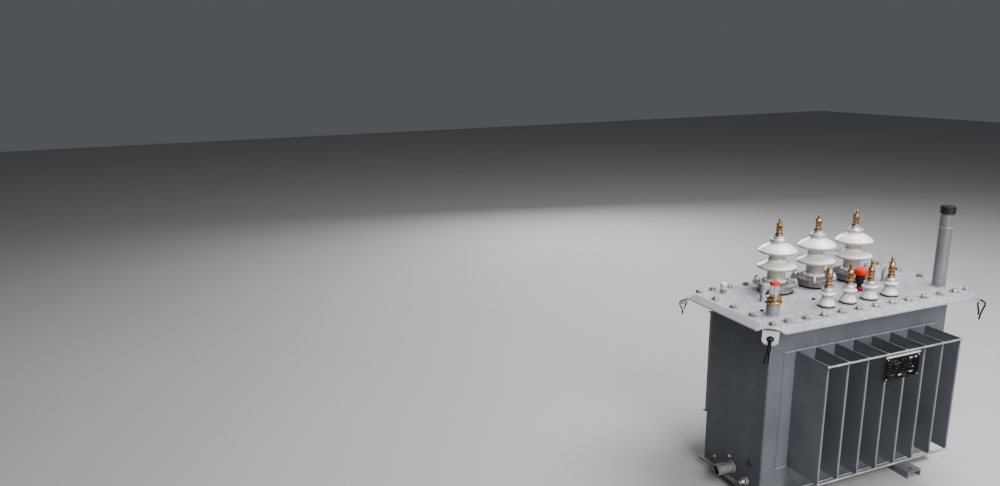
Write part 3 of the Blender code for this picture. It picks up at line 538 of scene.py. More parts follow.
def turned(profile, look, sides=48, degrees=40):
    """A turned piece: a disc drawn up ring by ring through (radius, height) in millimetres."""
    deselect()
    radius, height = profile[0]
    bpy.ops.mesh.primitive_circle_add(
        vertices=sides, radius=radius * MM, fill_type="NGON", location=(0, 0, height * MM)
    )
    piece = bpy.context.object
    bpy.ops.object.transform_apply(location=True)
    edit(piece)
    for reach, level in profile[1:]:
        bpy.ops.mesh.extrude_region_move(
            TRANSFORM_OT_translate={"value": (0, 0, (level - height) * MM)}
        )
        share = reach / radius
        bpy.ops.transform.resize(value=(share, share, 1), center_override=(0, 0, level * MM))
        radius, height = reach, level
    tidy_normals()
    smooth(piece, degrees)
    return painted(piece, look)


def hexagon(width, low, high, look, edge):
    """A bolt head or nut, its width across the flats, with softened edges; millimetres."""
    deselect()
    radius = width / 2 / math.cos(math.pi / 6)
    bpy.ops.mesh.primitive_cylinder_add(
        vertices=6, radius=radius * MM, depth=(high - low) * MM,
        location=(0, 0, (low + high) / 2 * MM),
    )
    piece = bpy.context.object
    bpy.ops.object.transform_apply(location=True)
    soften(piece, edge * MM)
    smooth(piece, 30)
    return painted(piece, look)


def slab(centre, size, look, edge=0.3):
    """A flat bar or block with softened edges, centre and size in metres."""
    deselect()
    bpy.ops.mesh.primitive_cube_add(size=1.0, location=centre, scale=size)
    piece = bpy.context.object
    bpy.ops.object.transform_apply(location=True, scale=True)
    soften(piece, edge * MM)
    return painted(piece, look)


def tube(points, radius, look, sides=10, lumps=0.0, closed=False):
    """A round rod or weld bead along points, in metres; lumps vary its thickness."""
    deselect()
    line = bpy.data.curves.new("line", "CURVE")
    line.dimensions = "3D"
    line.bevel_depth = radius
    line.bevel_resolution = max(sides // 4, 1)
    line.use_fill_caps = not closed
    spline = line.splines.new("POLY")
    spline.points.add(len(points) - 1)
    spline.use_cyclic_u = closed
    for index, (point, place) in enumerate(zip(spline.points, points)):
        point.co = (*place, 1.0)
        point.radius = 1.0 + lumps * math.sin(index * 2.4) * math.cos(index * 0.9)
    piece = bpy.data.objects.new("line", line)
    bpy.context.scene.collection.objects.link(piece)
    choose(piece)
    bpy.ops.object.convert(target="MESH")
    piece = bpy.context.object
    edit(piece)
    bpy.ops.mesh.remove_doubles(threshold=0.00001)
    tidy_normals()
    smooth(piece, 50)
    return painted(piece, look)


def joined(pieces):
    """Several pieces made one; each keeps its own finish."""
    if len(pieces) > 1:
        choose(*pieces)
        bpy.ops.object.join()
    return pieces[0]


def twin(piece):
    """A copy with its own mesh."""
    copy = piece.copy()
    copy.data = piece.data.copy()
    bpy.context.scene.collection.objects.link(copy)
    return copy


def moved(piece, place, turn=None):
    """Puts a piece's mesh somewhere else, turned first if a turn is given."""
    matrix = Matrix.Translation(Vector(place))
    if turn is not None:
        matrix = matrix @ turn
    piece.data.transform(matrix)
    return piece


def at_places(piece, places, turn=None):
    """Copies of one piece at each place, joined."""
    copies = [moved(twin(piece), place, turn) for place in places]
    bpy.data.objects.remove(piece, do_unlink=True)
    return joined(copies)


def settle(piece, name, body=FIXED, replaces=()):
    """Names a finished piece and lets it ride on its body."""
    piece.name = name
    piece.data.name = name
    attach(piece, body)
    if replaces:
        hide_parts(*replaces)


def ring_of(radius, count, start=0.0):
    """Places round a circle, angles in degrees."""
    places = []
    for index in range(count):
        angle = math.radians(start + 360.0 * index / count)
        places.append((radius * math.cos(angle), radius * math.sin(angle), 0.0))
    return places


def foot_of(node):
    """Middle of a round node, at its foot."""
    low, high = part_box(node)
    return Vector(((low.x + high.x) / 2, (low.y + high.y) / 2, low.z))


def threaded(radius, low, high, pitch=1.75, depth=0.6):
    """Profile of a thread, as rings, in millimetres."""
    points, chamfer = [], 1.0
    turns = max(int((high - low - chamfer) / pitch), 1)
    step = (high - low - chamfer) / turns
    for index in range(turns):
        level = low + index * step
        points += [(radius, level), (radius - depth, level + step / 2)]
    return points + [(radius, high - chamfer), (radius - chamfer, high)]


def arc(centre, radius, start, end, steps):
    """Points on an arc, angles in degrees."""
    points = []
    for index in range(steps + 1):
        angle = math.radians(start + (end - start) * index / steps)
        points.append((centre[0] + radius * math.cos(angle), centre[1] + radius * math.sin(angle)))
    return points


# Finishes of the solids that stay

KEPT = {
    "wall": ("tank_body",),
    "tank": ("tank_rim", "front_fin_panel", "back_fin_panel", "left_foot", "right_foot"),
    "lid": ("lid",),
    "lug": [name for name in nodes if name.endswith("_lug")],
    "rubber": ("lid_gasket",),
    "cast": [name for name in nodes if name.startswith("hv_clamp_")],
    "bracket": ("nameplate_bracket",),
    "plate": ("nameplate",),
    "sole": ("tank_bottom_plate",),
}


def finish_solids():
    for look, names in KEPT.items():
        for name in names:
            for slot in nodes[name].material_slots:
                slot.material = LOOKS[look].material


# High-voltage bushings, heights in millimetres above the lid

NUT_WIDTH, NUT_HEIGHT, NUT_GAP = 19.5, 10.4, 1.6
CLAMP_BOLT_CIRCLE = 0.0655
CLAMP_SCREW_CIRCLE = 0.0452
HV_COLLAR_GASKET = [(60.6, 0.2), (61.4, 1.0), (61.4, 3.6), (60.8, 4.4), (59.2, 4.6)]
# Under the clamp a black gasket stands out of the collar: a real gasket, and a dark band of painted
# shade where the clamp's lobes shade the collar.
HV_CLAMP_GASKET_AND_SHADE = [(59.0, 21.4), (61.0, 21.8), (61.4, 23.0), (61.2, 25.0), (57.0, 25.4)]


def hv_porcelain_profile():
    foot = [(35.6, 25.3), (36.8, 26.5), (37.0, 39.0), (35.6, 41.2), (32.6, 44.2), (31.2, 48.0)]
    lower = [(31.0, 56.0), (31.0, 78.5), (32.2, 81.6), (38.0, 84.7), (50.0, 86.0)]
    lower += arc((61.5, 92.5), 6.5, -90, 78, 8)
    lower += [(58.4, 101.0), (52.0, 104.2), (45.0, 107.2), (38.4, 110.2), (32.6, 113.8)]
    upper = [(29.8, 117.4), (29.0, 122.0), (29.0, 135.6), (30.2, 138.4), (36.0, 141.2), (49.0, 142.4)]
    upper += arc((60.5, 149.0), 6.5, -90, 70, 8)
    upper += [(60.6, 158.2), (56.6, 162.2), (51.8, 165.7), (46.0, 169.2), (39.6, 172.6)]
    return foot + lower + upper + [(33.0, 175.8), (28.4, 178.4), (26.2, 181.0), (26.0, 183.0)]


def nut_stack(low, top, lift=0.0):
    """Three brass nuts on a washer and a threaded stud, the last longer by the lift; millimetres."""
    washer = [(10.6, low), (11.2, low + 0.3), (11.2, low + 1.3), (10.6, low + NUT_GAP)]
    pieces = [turned(washer, "brass", 32)]
    level = low + NUT_GAP
    for index in range(3):
        tall = NUT_HEIGHT + (lift if index == 2 else 0.0)
        nut = hexagon(NUT_WIDTH, level, level + tall, "brass", 1.1)
        turn = Matrix.Rotation(math.radians(17 + 23 * index), 4, "Z")
        pieces.append(moved(nut, (0, 0, 0), turn))
        level += tall + NUT_GAP
    stud = [(5.3, low - 8.0), (5.3, low), (5.3, level - 2.0)] + threaded(6.0, level - 1.8, top)
    pieces.append(turned(stud, "brass", 24, 30))
    return pieces


def hv_terminal():
    cap = [(24.0, 183.3), (29.6, 184.0), (30.5, 185.6), (30.5, 189.6), (29.8, 191.4), (28.2, 192.2)]
    cap += [(26.0, 192.0), (23.6, 193.2), (20.8, 196.0), (19.2, 199.4), (18.4, 201.4), (16.6, 202.4)]
    pieces = [turned(cap, "satin", 56), hexagon(24.0, 202.4, 211.4, "tarnished", 1.0)]
    return joined(pieces + nut_stack(212.4, 264.0))


def clamp_bolts():
    """On each lobe a boss, washer, nut and stud end, and a small screw nearer the hub."""
    boss = turned([(12.0, 31.0), (11.6, 34.6), (10.8, 35.4)], "cast", 24)
    washer = turned([(9.6, 35.4), (10.0, 35.7), (10.0, 37.0), (9.6, 37.3)], "zinc", 24)
    nut = hexagon(16.0, 37.3, 45.3, "zinc", 0.8)
    stud = turned([(4.4, 40.0)] + threaded(5.0, 44.0, 51.0, 1.5, 0.5), "zinc", 16, 30)
    large = joined([boss, washer, nut, stud])
    head = hexagon(8.0, 38.2, 42.2, "zinc", 0.5)
    seat = turned([(5.6, 37.0), (5.8, 37.4), (5.8, 38.2), (5.5, 38.4)], "zinc", 20)
    small = joined([head, seat])
    large = at_places(large, ring_of(CLAMP_BOLT_CIRCLE, 4, 45))
    return joined([large, at_places(small, ring_of(CLAMP_SCREW_CIRCLE, 4, 45))])


def seat_bushing(kind, number, insulator, metal):
    """Puts an insulator and its stud and cap on the lid, and gives the place of their foot."""
    node = f"{kind}_insulator_{number}"
    middle = foot_of(node)
    place = (middle.x, middle.y, LID_TOP)
    settle(moved(insulator, place), f"{kind}_porcelain_{number}",
           replaces=(node,))
    settle(moved(metal, place), f"{kind}_stud_and_cap_{number}",
           replaces=(f"{kind}_terminal_{number}",))
    return place


def high_voltage_bushings():
    body = turned(hv_porcelain_profile(), "porcelain", 72, 60)
    metal = hv_terminal()
    gaskets = joined([turned(HV_COLLAR_GASKET, "rubber", 64), turned(HV_CLAMP_GASKET_AND_SHADE, "rubber", 64)])
    parts = [body, metal, gaskets, clamp_bolts()]
    for number in (1, 2, 3):
        here = parts if number == 3 else [twin(part) for part in parts]
        place = seat_bushing("hv", number, here[0], here[1])
        settle(moved(here[2], place), f"hv_gaskets_and_shade_{number}")
        settle(moved(here[3], place), f"hv_clamp_bolts_{number}")


# Low-voltage bushings

def lv_porcelain_profile():
    foot = [(26.4, 3.2), (27.8, 4.4), (27.9, 8.2), (27.0, 10.4), (25.6, 12.2), (24.4, 14.4)]
    body = [(22.4, 18.2), (20.4, 22.4), (18.6, 26.8), (17.2, 31.0), (16.6, 34.0), (16.6, 37.4)]
    shed = arc((22.2, 44.3), 3.8, -100, 88, 8)
    return foot + body + [(18.0, 39.6)] + shed + [(19.6, 49.6), (17.8, 51.4), (17.0, 54.0)]


def lv_terminal(lift):
    cap = [(17.0, 54.3), (20.6, 54.8), (21.2, 56.0), (21.2, 59.4), (20.4, 60.8), (18.8, 61.2)]
    cap += [(16.8, 61.6), (15.0, 63.2), (14.4, 65.2), (13.6, 66.2)]
    pieces = [turned(cap, "satin", 48), hexagon(23.0, 66.2, 73.2, "tarnished", 1.0)]
    return joined(pieces + nut_stack(76.0, 138.0, lift))


def low_voltage_bushings():
    body = turned(lv_porcelain_profile(), "porcelain", 64, 60)
    gasket = turned([(27.4, 0.0), (28.4, 0.6), (28.4, 2.6), (27.8, 3.0)], "rubber", 56)
    parts = [body, gasket]
    for number, lift in enumerate(LV_NUT_LIFTS, 1):
        metal = lv_terminal(lift)
        here = parts if number == 4 else [twin(part) for part in parts]
        place = seat_bushing("lv", number, here[0], metal)
        settle(moved(here[1], place), f"lv_gasket_{number}")


# Lid bolts

def bolt_places():
    """Bolts along the four edges: a corner bolt, then an even pitch from the middle."""
    columns = [BOLT_PITCH_X * step for step in range(-INNER_BOLTS_EACH_WAY, INNER_BOLTS_EACH_WAY + 1)]
    places = []
    for x in [-BOLT_ROW_X] + columns + [BOLT_ROW_X]:
        places += [(x, -BOLT_ROW_Y), (x, BOLT_ROW_Y)]
    for step in (-1, 0, 1):
        places += [(-BOLT_ROW_X, BOLT_PITCH_Y * step), (BOLT_ROW_X, BOLT_PITCH_Y * step)]
    return places


def lid_bolts():
    """Hexagon bolts on washers along the lid's edges, with their nuts below the rim."""
    washer = turned([(11.6, 0.0), (12.0, 0.4), (12.0, 2.0), (11.6, 2.4)], "bolt", 28)
    head = hexagon(18.0, 2.4, 9.9, "bolt", 1.0)
    dish = turned([(7.6, 9.7), (7.0, 10.4), (6.0, 10.2)], "bolt", 24)
    above = joined([washer, head, dish])
    places = [(x, y, LID_TOP) for x, y in bolt_places()]
    settle(at_places(above, places), "lid_bolts")
    nut = hexagon(18.0, -9.6, 0.0, "bolt", 1.0)
    end = turned(threaded(5.8, -13.0, -8.0), "bolt", 20, 30)
    below = joined([nut, end])
    places = [(x, y, RIM_UNDER) for x, y in bolt_places()]
    settle(at_places(below, places), "rim_nuts")


# Filler pipe, gauge and tap changer

def grooved(piece, count, low, high, reach, share):
    """Draws in every so many corners of a turned rim, as finger grooves."""
    edit(piece)
    bpy.ops.mesh.select_all(action="DESELECT")
    bpy.ops.object.mode_set(mode="OBJECT")
    for vertex in piece.data.vertices:
        x, y, z = vertex.co
        turn = math.atan2(y, x) / math.tau * count
        on_groove = abs(turn - round(turn)) < 0.1
        vertex.select = on_groove and low < z / MM < high and math.hypot(x, y) > reach * MM
    bpy.ops.object.mode_set(mode="EDIT")
    bpy.ops.transform.resize(value=(share, share, 1), center_override=(0, 0, 0))
    tidy_normals()
    return piece


def pipe_bead(name, place, height, thickness, look, steps=40, lumps=0.25):
    """A bead round a pipe, so high above the pipe's foot."""
    ring = [(x, y, height) for x, y, _ in ring_of(PIPE_BEAD_RADIUS, steps)]
    settle(moved(tube(ring, thickness, look, 8, lumps, True), place), name)


def filler_fittings():
    place = foot_of("filler_pipe")
    pipe = [(22.0, 0.0), (22.0, 216.2), (22.7, 216.8), (23.2, 218.0), (22.7, 219.2), (22.0, 219.8)]
    pipe += [(22.0, 262.0)] + threaded(22.0, 263.0, 269.6, 1.6, 0.5)
    settle(moved(turned(pipe, "pipe", 48), place), "filler_pipe_weathered",
           replaces=("filler_pipe",))
    pipe_bead("filler_pipe_weld", place, 0.0012, 0.0019, "lug")
    pipe_bead("filler_pipe_ring", place, 0.218, 0.0013, "worn_lit", 48, 0.2)
    cap = [(24.4, 269.0), (25.4, 269.6), (25.4, 273.0), (24.9, 273.8), (24.9, 291.4), (24.2, 293.2)]
    cap += [(22.0, 294.4), (14.0, 294.6), (13.4, 293.8)]
    piece = grooved(turned(cap, "black", 96), 24, 273.5, 292.0, 20.0, 0.965)
    settle(moved(piece, place), "filler_cap_ribbed", replaces=("filler_cap",))


def oil_gauge():
    place = foot_of("gauge_stub")
    stub = turned([(22.0, 0.0), (22.0, 35.2), (21.4, 36.4), (21.4, 37.6)], "stub", 48)
    settle(moved(stub, place), "gauge_stub_weathered", replaces=("gauge_stub",))
    pipe_bead("gauge_stub_weld", place, 0.0012, 0.0019, "lug")
    lower = hexagon(49.6, 37.8, 49.3, "brass", 2.4)
    upper = moved(hexagon(45.6, 50.6, 62.2, "brass", 2.4), (0, 0, 0), Matrix.Rotation(0.4, 4, "Z"))
    neck = turned([(21.0, 49.0), (21.0, 51.0)], "brass", 40)
    collar = turned([(17.5, 62.0), (17.5, 63.6), (15.8, 64.6), (14.4, 64.6)], "brass", 40)
    settle(moved(joined([lower, upper, neck, collar]), place), "gauge_brass_nuts",
           replaces=("gauge_nuts",))
    wall = [(11.6, 63.0), (13.8, 63.0), (14.0, 63.4), (14.0, 101.2), (11.6, 101.2), (11.6, 63.2)]
    settle(moved(turned(wall, "glass", 48), place), "gauge_glass_tube",
           replaces=("gauge_glass",))
    rod = turned([(1.8, 63.6), (1.8, 100.8)], "black", 16)
    float_ring = turned([(2.4, 66.0), (5.2, 67.0), (5.2, 71.0), (2.4, 72.0)], "black", 20)
    settle(moved(joined([rod, float_ring]), place), "gauge_level_rod")
    cap = [(15.0, 101.4), (15.9, 102.4), (15.9, 108.6), (14.8, 110.8), (12.4, 112.2), (7.0, 112.4)]
    cap += [(6.4, 111.6), (3.0, 111.4)]
    piece = grooved(turned(cap, "red", 72), 18, 102.8, 109.5, 12.0, 0.96)
    settle(moved(piece, place), "gauge_cap_moulded", replaces=("gauge_cap",))


def tap_changer():
    place = foot_of("tap_collar")
    collar = [(14.2, 0.0), (14.8, 0.8), (14.8, 8.6), (13.2, 10.0), (13.2, 12.6), (12.2, 13.4)]
    settle(moved(turned(collar, "dark_red", 48), place), "tap_collar_moulded",
           replaces=("tap_collar",))
    housing = [(8.0, 13.6), (8.2, 17.0), (9.6, 22.0), (12.4, 28.0), (14.8, 33.0), (15.5, 36.6)]
    housing += [(15.5, 45.6), (14.8, 46.4), (14.8, 48.0), (15.5, 48.8), (15.5, 56.0), (14.6, 57.0)]
    settle(moved(turned(housing, "black", 48), place), "tap_housing_moulded",
           replaces=("tap_housing",))
    knob = [(15.0, 58.0), (19.6, 59.4), (23.4, 62.0), (25.6, 65.6), (26.2, 69.4), (26.2, 73.0)]
    knob += [(25.2, 76.8), (22.8, 80.0), (18.6, 82.6), (13.4, 84.2), (12.6, 83.6), (3.0, 83.4)]
    piece = grooved(turned(knob, "orange", 96, 50), 12, 65.0, 83.0, 22.0, 0.935)
    mark = slab((0.0152, 0.0, 0.0835), (0.007, 0.0024, 0.0012), "sign")
    settle(moved(joined([piece, mark]), place), "tap_knob_moulded",
           body=TURNING, replaces=("tap_knob",))


def thermometer_pocket():
    place = foot_of("thermometer_pocket")
    stub = turned([(11.0, 0.0), (11.0, 12.4), (10.2, 13.2), (10.2, 14.4)], "stub", 32)
    ring = turned([(11.2, 14.2), (12.0, 14.8), (12.0, 22.0), (11.2, 22.8)], "pale", 36)
    cap = turned([(11.6, 24.2), (12.6, 25.0), (12.6, 33.4), (11.6, 35.0), (8.0, 35.9)], "pale", 36)
    band = turned([(10.6, 22.4), (10.6, 24.4)], "rubber", 32)
    settle(moved(joined([cap, stub, ring, band]), place), "thermometer_plug",
           replaces=("thermometer_pocket",))


def lid_plugs():
    """Small dark screw plugs let into the lid."""
    plug = turned([(6.2, 0.0), (6.2, 2.8), (5.6, 3.8), (3.0, 4.0), (2.6, 2.6)], "rubber", 24)
    places = [(x, y, LID_TOP) for x, y in LID_PLUGS]
    settle(at_places(plug, places), "lid_plugs")


# Fittings on the left end wall

def on_end_wall(node):
    """Middle of a fitting's face on the left end wall."""
    low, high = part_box(node)
    return (high.x, (low.y + high.y) / 2, (low.z + high.z) / 2)


def end_wall_fittings():
    outward = Matrix.Rotation(-math.pi / 2, 4, "Y")
    ring = turned([(22.6, 1.6), (23.6, 2.2), (23.6, 6.4), (22.8, 7.0), (17.0, 7.2)], "stub", 56)
    body = [(18.0, 0.0), (18.0, 14.0), (19.6, 15.0)] + threaded(20.0, 16.0, 69.0, 5.2, 1.5)[:-1]
    body += [(19.2, 69.4), (16.4, 69.8), (15.8, 69.2), (15.8, 61.0)]
    plug = turned([(15.6, 52.0), (15.6, 61.2), (14.8, 62.0), (9.0, 62.2), (8.4, 59.0)], "rubber", 32)
    pieces = [turned(body, "drain", 56, 25), ring, plug]
    settle(moved(joined(pieces), on_end_wall("drain_valve"), outward), "drain_stub",
           replaces=("drain_valve",))
    boss = turned([(14.0, 0.0), (14.0, 7.0), (13.2, 8.0)], "stub", 36)
    washer = turned([(13.4, 8.0), (14.0, 8.4), (14.0, 10.0), (13.4, 10.4)], "zinc", 40)
    spring = turned([(9.6, 10.4), (10.0, 10.7), (10.0, 12.6), (9.6, 12.9)], "rubber", 32)
    nut = hexagon(18.5, 12.9, 21.0, "zinc", 0.9)
    stud = turned([(5.4, 12.0)] + threaded(6.0, 19.0, 30.0), "zinc", 24, 30)
    piece = joined([nut, boss, washer, spring, stud])
    place = on_end_wall("earth_terminal")
    settle(moved(piece, place, outward), "earth_stud", replaces=("earth_terminal",))
    head = hexagon(10.0, 1.6, 6.6, "zinc", 0.6)
    seat = turned([(7.0, 0.0), (7.2, 0.3), (7.2, 1.4), (6.9, 1.6)], "zinc", 24)
    places = [(place[0], y, z) for y, z in END_WALL_SCREWS]
    settle(at_places(joined([head, seat]), places, outward), "end_wall_screws")


def earth_sign():
    """A generic earth symbol painted on the end wall."""
    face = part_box("tank_body")[0].x - 0.0002
    middle_y, middle_z = EARTH_SIGN
    bars = [((0.0, 0.0125), (0.0046, 0.019)), ((0.0, 0.0015), (0.0340, 0.0052))]
    bars += [((0.0, -0.0065), (0.0220, 0.0052)), ((0.0, -0.0145), (0.0100, 0.0052))]
    pieces = []
    for (across, up), (width, height) in bars:
        centre = (face, middle_y + across, middle_z + up)
        pieces.append(slab(centre, (0.0006, width, height), "sign", 0.1))
    settle(joined(pieces), "earth_sign")


# Nameplate: ruled frames and blank bars in silver on the black plate

def nameplate_frames():
    low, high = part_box("nameplate")
    front = low.y - 0.0001
    width, height = high.x - low.x, high.z - low.z
    lines = [
        ((0.44, 0.950), (0.84, 0.006)), ((0.44, 0.050), (0.84, 0.006)),
        ((0.025, 0.50), (0.003, 0.90)), ((0.860, 0.50), (0.003, 0.90)),
        ((0.44, 0.800), (0.84, 0.006)), ((0.44, 0.285), (0.84, 0.006)),
        ((0.530, 0.540), (0.003, 0.51)),
    ]
    dim = [((0.22, 0.875), (0.24, 0.036)), ((0.52, 0.870), (0.12, 0.030))]
    for row in range(4):
        level = 0.730 - row * 0.112
        dim.append(((0.120, level), (0.12, 0.016 + 0.008 * (row % 2))))
        dim.append(((0.330, level), (0.20 - 0.05 * (row % 3), 0.034 - 0.006 * row)))
    for row in range(2):
        level = 0.215 - row * 0.095
        dim.append(((0.190, level), (0.22 - 0.06 * row, 0.030)))
        dim.append(((0.560, level), (0.16, 0.018)))
    bright = [((0.725, 0.875), (0.085, 0.055)), ((0.880, 0.878), (0.085, 0.055))]
    bright += [((0.810, 0.430), (0.050, 0.050)), ((0.760, 0.225), (0.110, 0.055))]
    bright += [((0.430, 0.175), (0.100, 0.060))]
    pieces = []
    for look, marks in (("print", lines + dim), ("print_bright", bright)):
        for (across, up), (wide, tall) in marks:
            centre = (low.x + across * width, front, low.z + up * height)
            pieces.append(slab(centre, (wide * width, 0.0006, tall * height), look, 0.05))
    radius = 0.0080
    for angle in (math.radians(90), math.radians(210), math.radians(330)):
        across = low.x + 0.690 * width + radius * math.cos(angle)
        up = low.z + 0.560 * height + radius * math.sin(angle)
        ring = [(across + x, front, up + y) for x, y, _ in ring_of(radius, 28)]
        pieces.append(tube(ring, 0.0005, "print", 8, 0.0, True))
    settle(joined(pieces), "nameplate_frames")
    rivet = turned([(2.6, 0.0), (2.5, 0.7), (1.8, 1.4), (0.8, 1.7)], "aluminium", 20)
    outward = Matrix.Rotation(math.pi / 2, 4, "X")
    places = []
    for across in (0.028, 0.972):
        for up in (0.05, 0.95):
            places.append((low.x + across * width, low.y, low.z + up * height))
    settle(at_places(rivet, places, outward), "nameplate_rivets")


# Rods and weld beads

def fin_rods():
    """Light rods along the fins' tips, with two small welds at each fin."""
    weld = ((-0.004, 0.0024), (0.0, 0.0030), (0.004, 0.0024))
    for side, face in PANELS:
        low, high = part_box(f"{face}_fin_panel")
        reach = max(abs(low.y), abs(high.y)) - 0.003
        for edge, level in (("top", high.z - 0.004), ("bottom", low.z + 0.004)):
            points = []
            for step in range(25):
                x = -FIN_ROD_REACH + 2 * FIN_ROD_REACH * step / 24
                points.append((x, side * reach, level))
            pieces = [tube(points, 0.0032, "rod", 16, 0.02)]
            inner = side * reach - 0.0026 * side
            for index in range(FIN_COUNT):
                x = (index - (FIN_COUNT - 1) / 2) * FIN_PITCH
                for hand in (-1, 1):
                    bead = [(x + along, inner, level + hand * up) for along, up in weld]
                    pieces.append(tube(bead, 0.0014, "rod", 8, 0.2))
            settle(joined(pieces), f"{face}_{edge}_rod")


def bead_line(start, end, radius, steps, look="worn_lit", lumps=0.3):
    """A straight weld bead in so many steps."""
    start, end = Vector(start), Vector(end)
    points = [start.lerp(end, step / steps) for step in range(steps + 1)]
    return tube(points, radius, look, 8, lumps)


def tank_welds():
    """Beads along the panels' top and side edges and the tank's foot."""
    beads = []
    tank_low, tank_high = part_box("tank_body")
    foot = tank_low.z + 0.0006
    for side, face in PANELS:
        low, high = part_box(f"{face}_fin_panel")
        wall = side * (abs(tank_low.y) + 0.0012)
        edge, level = high.x, high.z + 0.001
        beads.append(bead_line((-edge, wall, level), (edge, wall, level), 0.0020, 120))
        level = low.z - 0.001
        fins = FIN_PITCH * (FIN_COUNT - 1) / 2 + 0.008
        beads.append(bead_line((-fins, wall, level), (fins, wall, level), 0.0020, 100, "wall"))
        for hand in (-1, 1):
            start, end = (edge * hand, wall, level), (fins * hand, wall, level)
            beads.append(bead_line(start, end, 0.0020, 10))
        sunk = wall - side * 0.0026
        for x in (-edge - 0.001, edge + 0.001):
            beads.append(bead_line((x, sunk, low.z), (x, sunk, high.z), 0.0036, 8, "wall", 0.0))
        beads.append(bead_line((tank_low.x, wall, foot), (tank_high.x, wall, foot), 0.0024, 140))
    for x in (tank_low.x - 0.0004, tank_high.x + 0.0004):
        beads.append(bead_line((x, tank_low.y, foot), (x, tank_high.y, foot), 0.0024, 60))
    settle(joined(beads), "tank_welds")


def lug_welds():
    """Beads round the lifting lugs' feet."""
    beads = []
    for node in ("left_lifting_lug", "right_lifting_lug"):
        low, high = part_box(node)
        for y in (low.y, high.y):
            start, end = (low.x - 0.001, y, LID_TOP), (high.x + 0.001, y, LID_TOP)
            beads.append(bead_line(start, end, 0.0026, 24, "lug"))
    settle(joined(beads), "lifting_lug_welds")


# Black wire ties left in the corner lugs' holes

def wire_tie(name, side_x, side_y, lengths, gaps, looped=False, thickness=0.0023, wave=0.0016,
             sway=0.0):
    """A stiff tie wound round the hole, of two strands that hang from the lug's tip. The gaps are
    between them at the top and at the foot. In a loop, one hangs from the hole itself."""
    outward = Vector((side_x, side_y, 0.0)).normalized()
    along = outward * math.cos(LUG_SLOPE) - Vector((0, 0, math.sin(LUG_SLOPE)))
    upward = outward * math.sin(LUG_SLOPE) + Vector((0, 0, math.cos(LUG_SLOPE)))
    sideways = Vector((0, 0, 1)).cross(outward)
    centre = Vector((side_x * LUG_HOLE[0], side_y * LUG_HOLE[1], LUG_HOLE[2]))
    hole = centre + along * 0.0050
    tip = hole + along * (LUG_HOLE_TO_TIP - 0.0020)
    coil = [centre + sideways * x + along * y for x, y, _ in ring_of(LUG_HOLE_RADIUS - thickness, 24)]
    strands = [tube(coil, thickness, "rubber", closed=True)]
    steps = 14
    for hand in (-1, 1):
        top_gap, foot_gap = [gap * hand / 2 for gap in gaps]
        length = lengths[0] if hand < 0 else lengths[1]
        lean = sideways * (0.0022 * hand)
        path = [hole - upward * 0.006 + lean, hole + lean, hole + upward * 0.0058 + lean]
        over = sideways * (top_gap + lean.length * hand) / 2
        path.append(hole + along * 0.007 + upward * 0.0072 + over)
        path.append(tip + upward * 0.0056 + sideways * top_gap)
        path.append(tip + along * 0.0026 + upward * 0.0010 + sideways * top_gap)
        back = Vector((0, 0, 0))
        if looped and hand < 0:
            path = [hole + upward * 0.006 + lean, hole + lean, hole - upward * 0.007 + lean]
        elif looped:
            back = outward * -0.017
        start = path[-1]
        for step in range(1, steps + 1):
            share = step / steps
            gap = top_gap + (foot_gap - top_gap) * share + wave * math.sin(share * 7.0 + hand)
            gap += sway * share
            drop = Vector((0, 0, -length * share))
            drift = outward * (0.004 * share + wave * math.sin(share * 5.0 + 2.0 * hand))
            path.append(start + drop + drift + back * share + sideways * (gap - top_gap))
        strands.append(tube(path, thickness, "rubber"))
    settle(joined(strands), name)


def wire_ties():
    wire_tie("lug_tie_front_left", -1, -1, (0.056, 0.054), (0.0060, 0.0110), wave=0.0008,
             sway=-0.0070)
    wire_tie("lug_tie_front_right", 1, -1, (0.044, 0.056), (0.0040, 0.0030), True, 0.0028)
    wire_tie("lug_tie_back_right", 1, 1, (0.052, 0.046), (0.0060, 0.0080))
    wire_tie("lug_tie_back_left", -1, 1, (0.026, 0.038), (0.0040, 0.0030), True)


# Stage

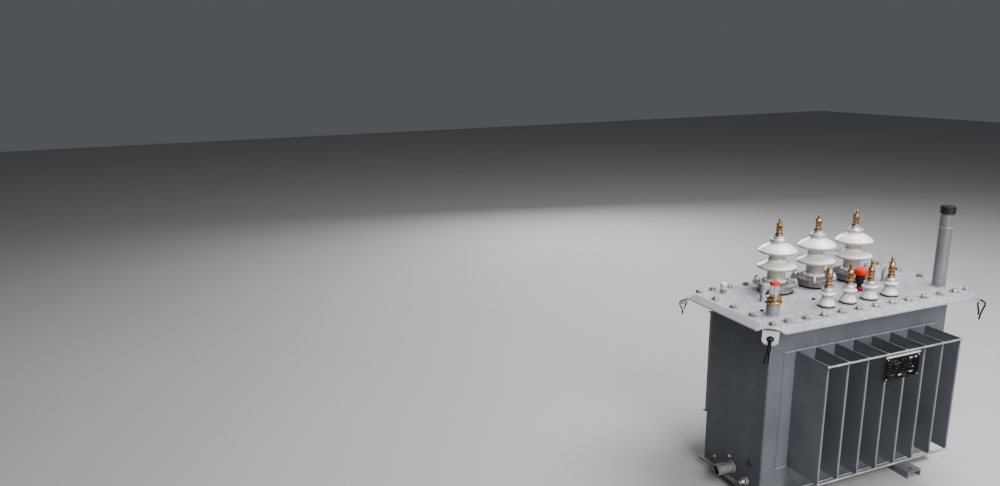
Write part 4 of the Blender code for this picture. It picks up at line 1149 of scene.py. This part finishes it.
def floor():
    deselect()
    bpy.ops.mesh.primitive_plane_add(size=30.0, location=(0, 0, 0))
    ground = bpy.context.object
    ground.name = "floor"
    look = Finish("floor_paper", roughness=0.9)
    look.colour(look.mix(look.noise(0.8, 2.0), (0.42, 0.42, 0.415), (0.46, 0.46, 0.455)))
    ground.data.materials.append(look.material)


def softbox(name, place, target, size, power):
    light = bpy.data.lights.new(name, "AREA")
    light.shape = "DISK"
    light.size = size
    light.energy = power
    lamp = bpy.data.objects.new(name, light)
    lamp.location = place
    heading = Vector(target) - Vector(place)
    lamp.rotation_euler = heading.to_track_quat("-Z", "Y").to_euler()
    bpy.context.scene.collection.objects.link(lamp)


def lighting():
    world = bpy.data.worlds.new("studio")
    world.use_nodes = True
    sky = world.node_tree.nodes["Background"]
    sky.inputs["Color"].default_value = (0.86, 0.92, 1.0, 1.0)
    sky.inputs["Strength"].default_value = 0.10
    bpy.context.scene.world = world
    softbox("top_light", (1.3, -0.5, 4.2), (0.1, 0, 0.6), 3.2, 300.0)
    softbox("key_light", (-0.6, -3.2, 3.0), (0.1, 0, 0.45), 2.0, 106.0)
    softbox("front_light", (-0.6, -4.2, 0.8), (0.1, 0, 0.40), 1.6, 96.0)
    softbox("back_light", (1.1, 4.2, 2.2), (0, 0, 0.4), 2.4, 110.0)


def camera():
    """Looks down by the pitch, turned towards +X by the yaw and rolled about its own line."""
    view = bpy.data.objects.new("camera", bpy.data.cameras.new("camera"))
    heading = Matrix.Rotation(-CAMERA_YAW, 4, "Z")
    pitched = Matrix.Rotation(math.pi / 2 - CAMERA_PITCH, 4, "X")
    rolled = Matrix.Rotation(CAMERA_ROLL, 4, "Z")
    view.matrix_world = Matrix.Translation(Vector(CAMERA_PLACE)) @ heading @ pitched @ rolled
    view.data.sensor_width = SENSOR_WIDTH
    view.data.lens = CAMERA_LENS
    view.data.clip_start = 0.05
    bpy.context.scene.collection.objects.link(view)
    bpy.context.scene.camera = view


camera()
lighting()
floor()
finish_solids()
high_voltage_bushings()
low_voltage_bushings()
lid_bolts()
filler_fittings()
oil_gauge()
tap_changer()
thermometer_pocket()
end_wall_fittings()
earth_sign()
nameplate_frames()
fin_rods()
tank_welds()
lug_welds()
lid_plugs()
wire_ties()

deselect()
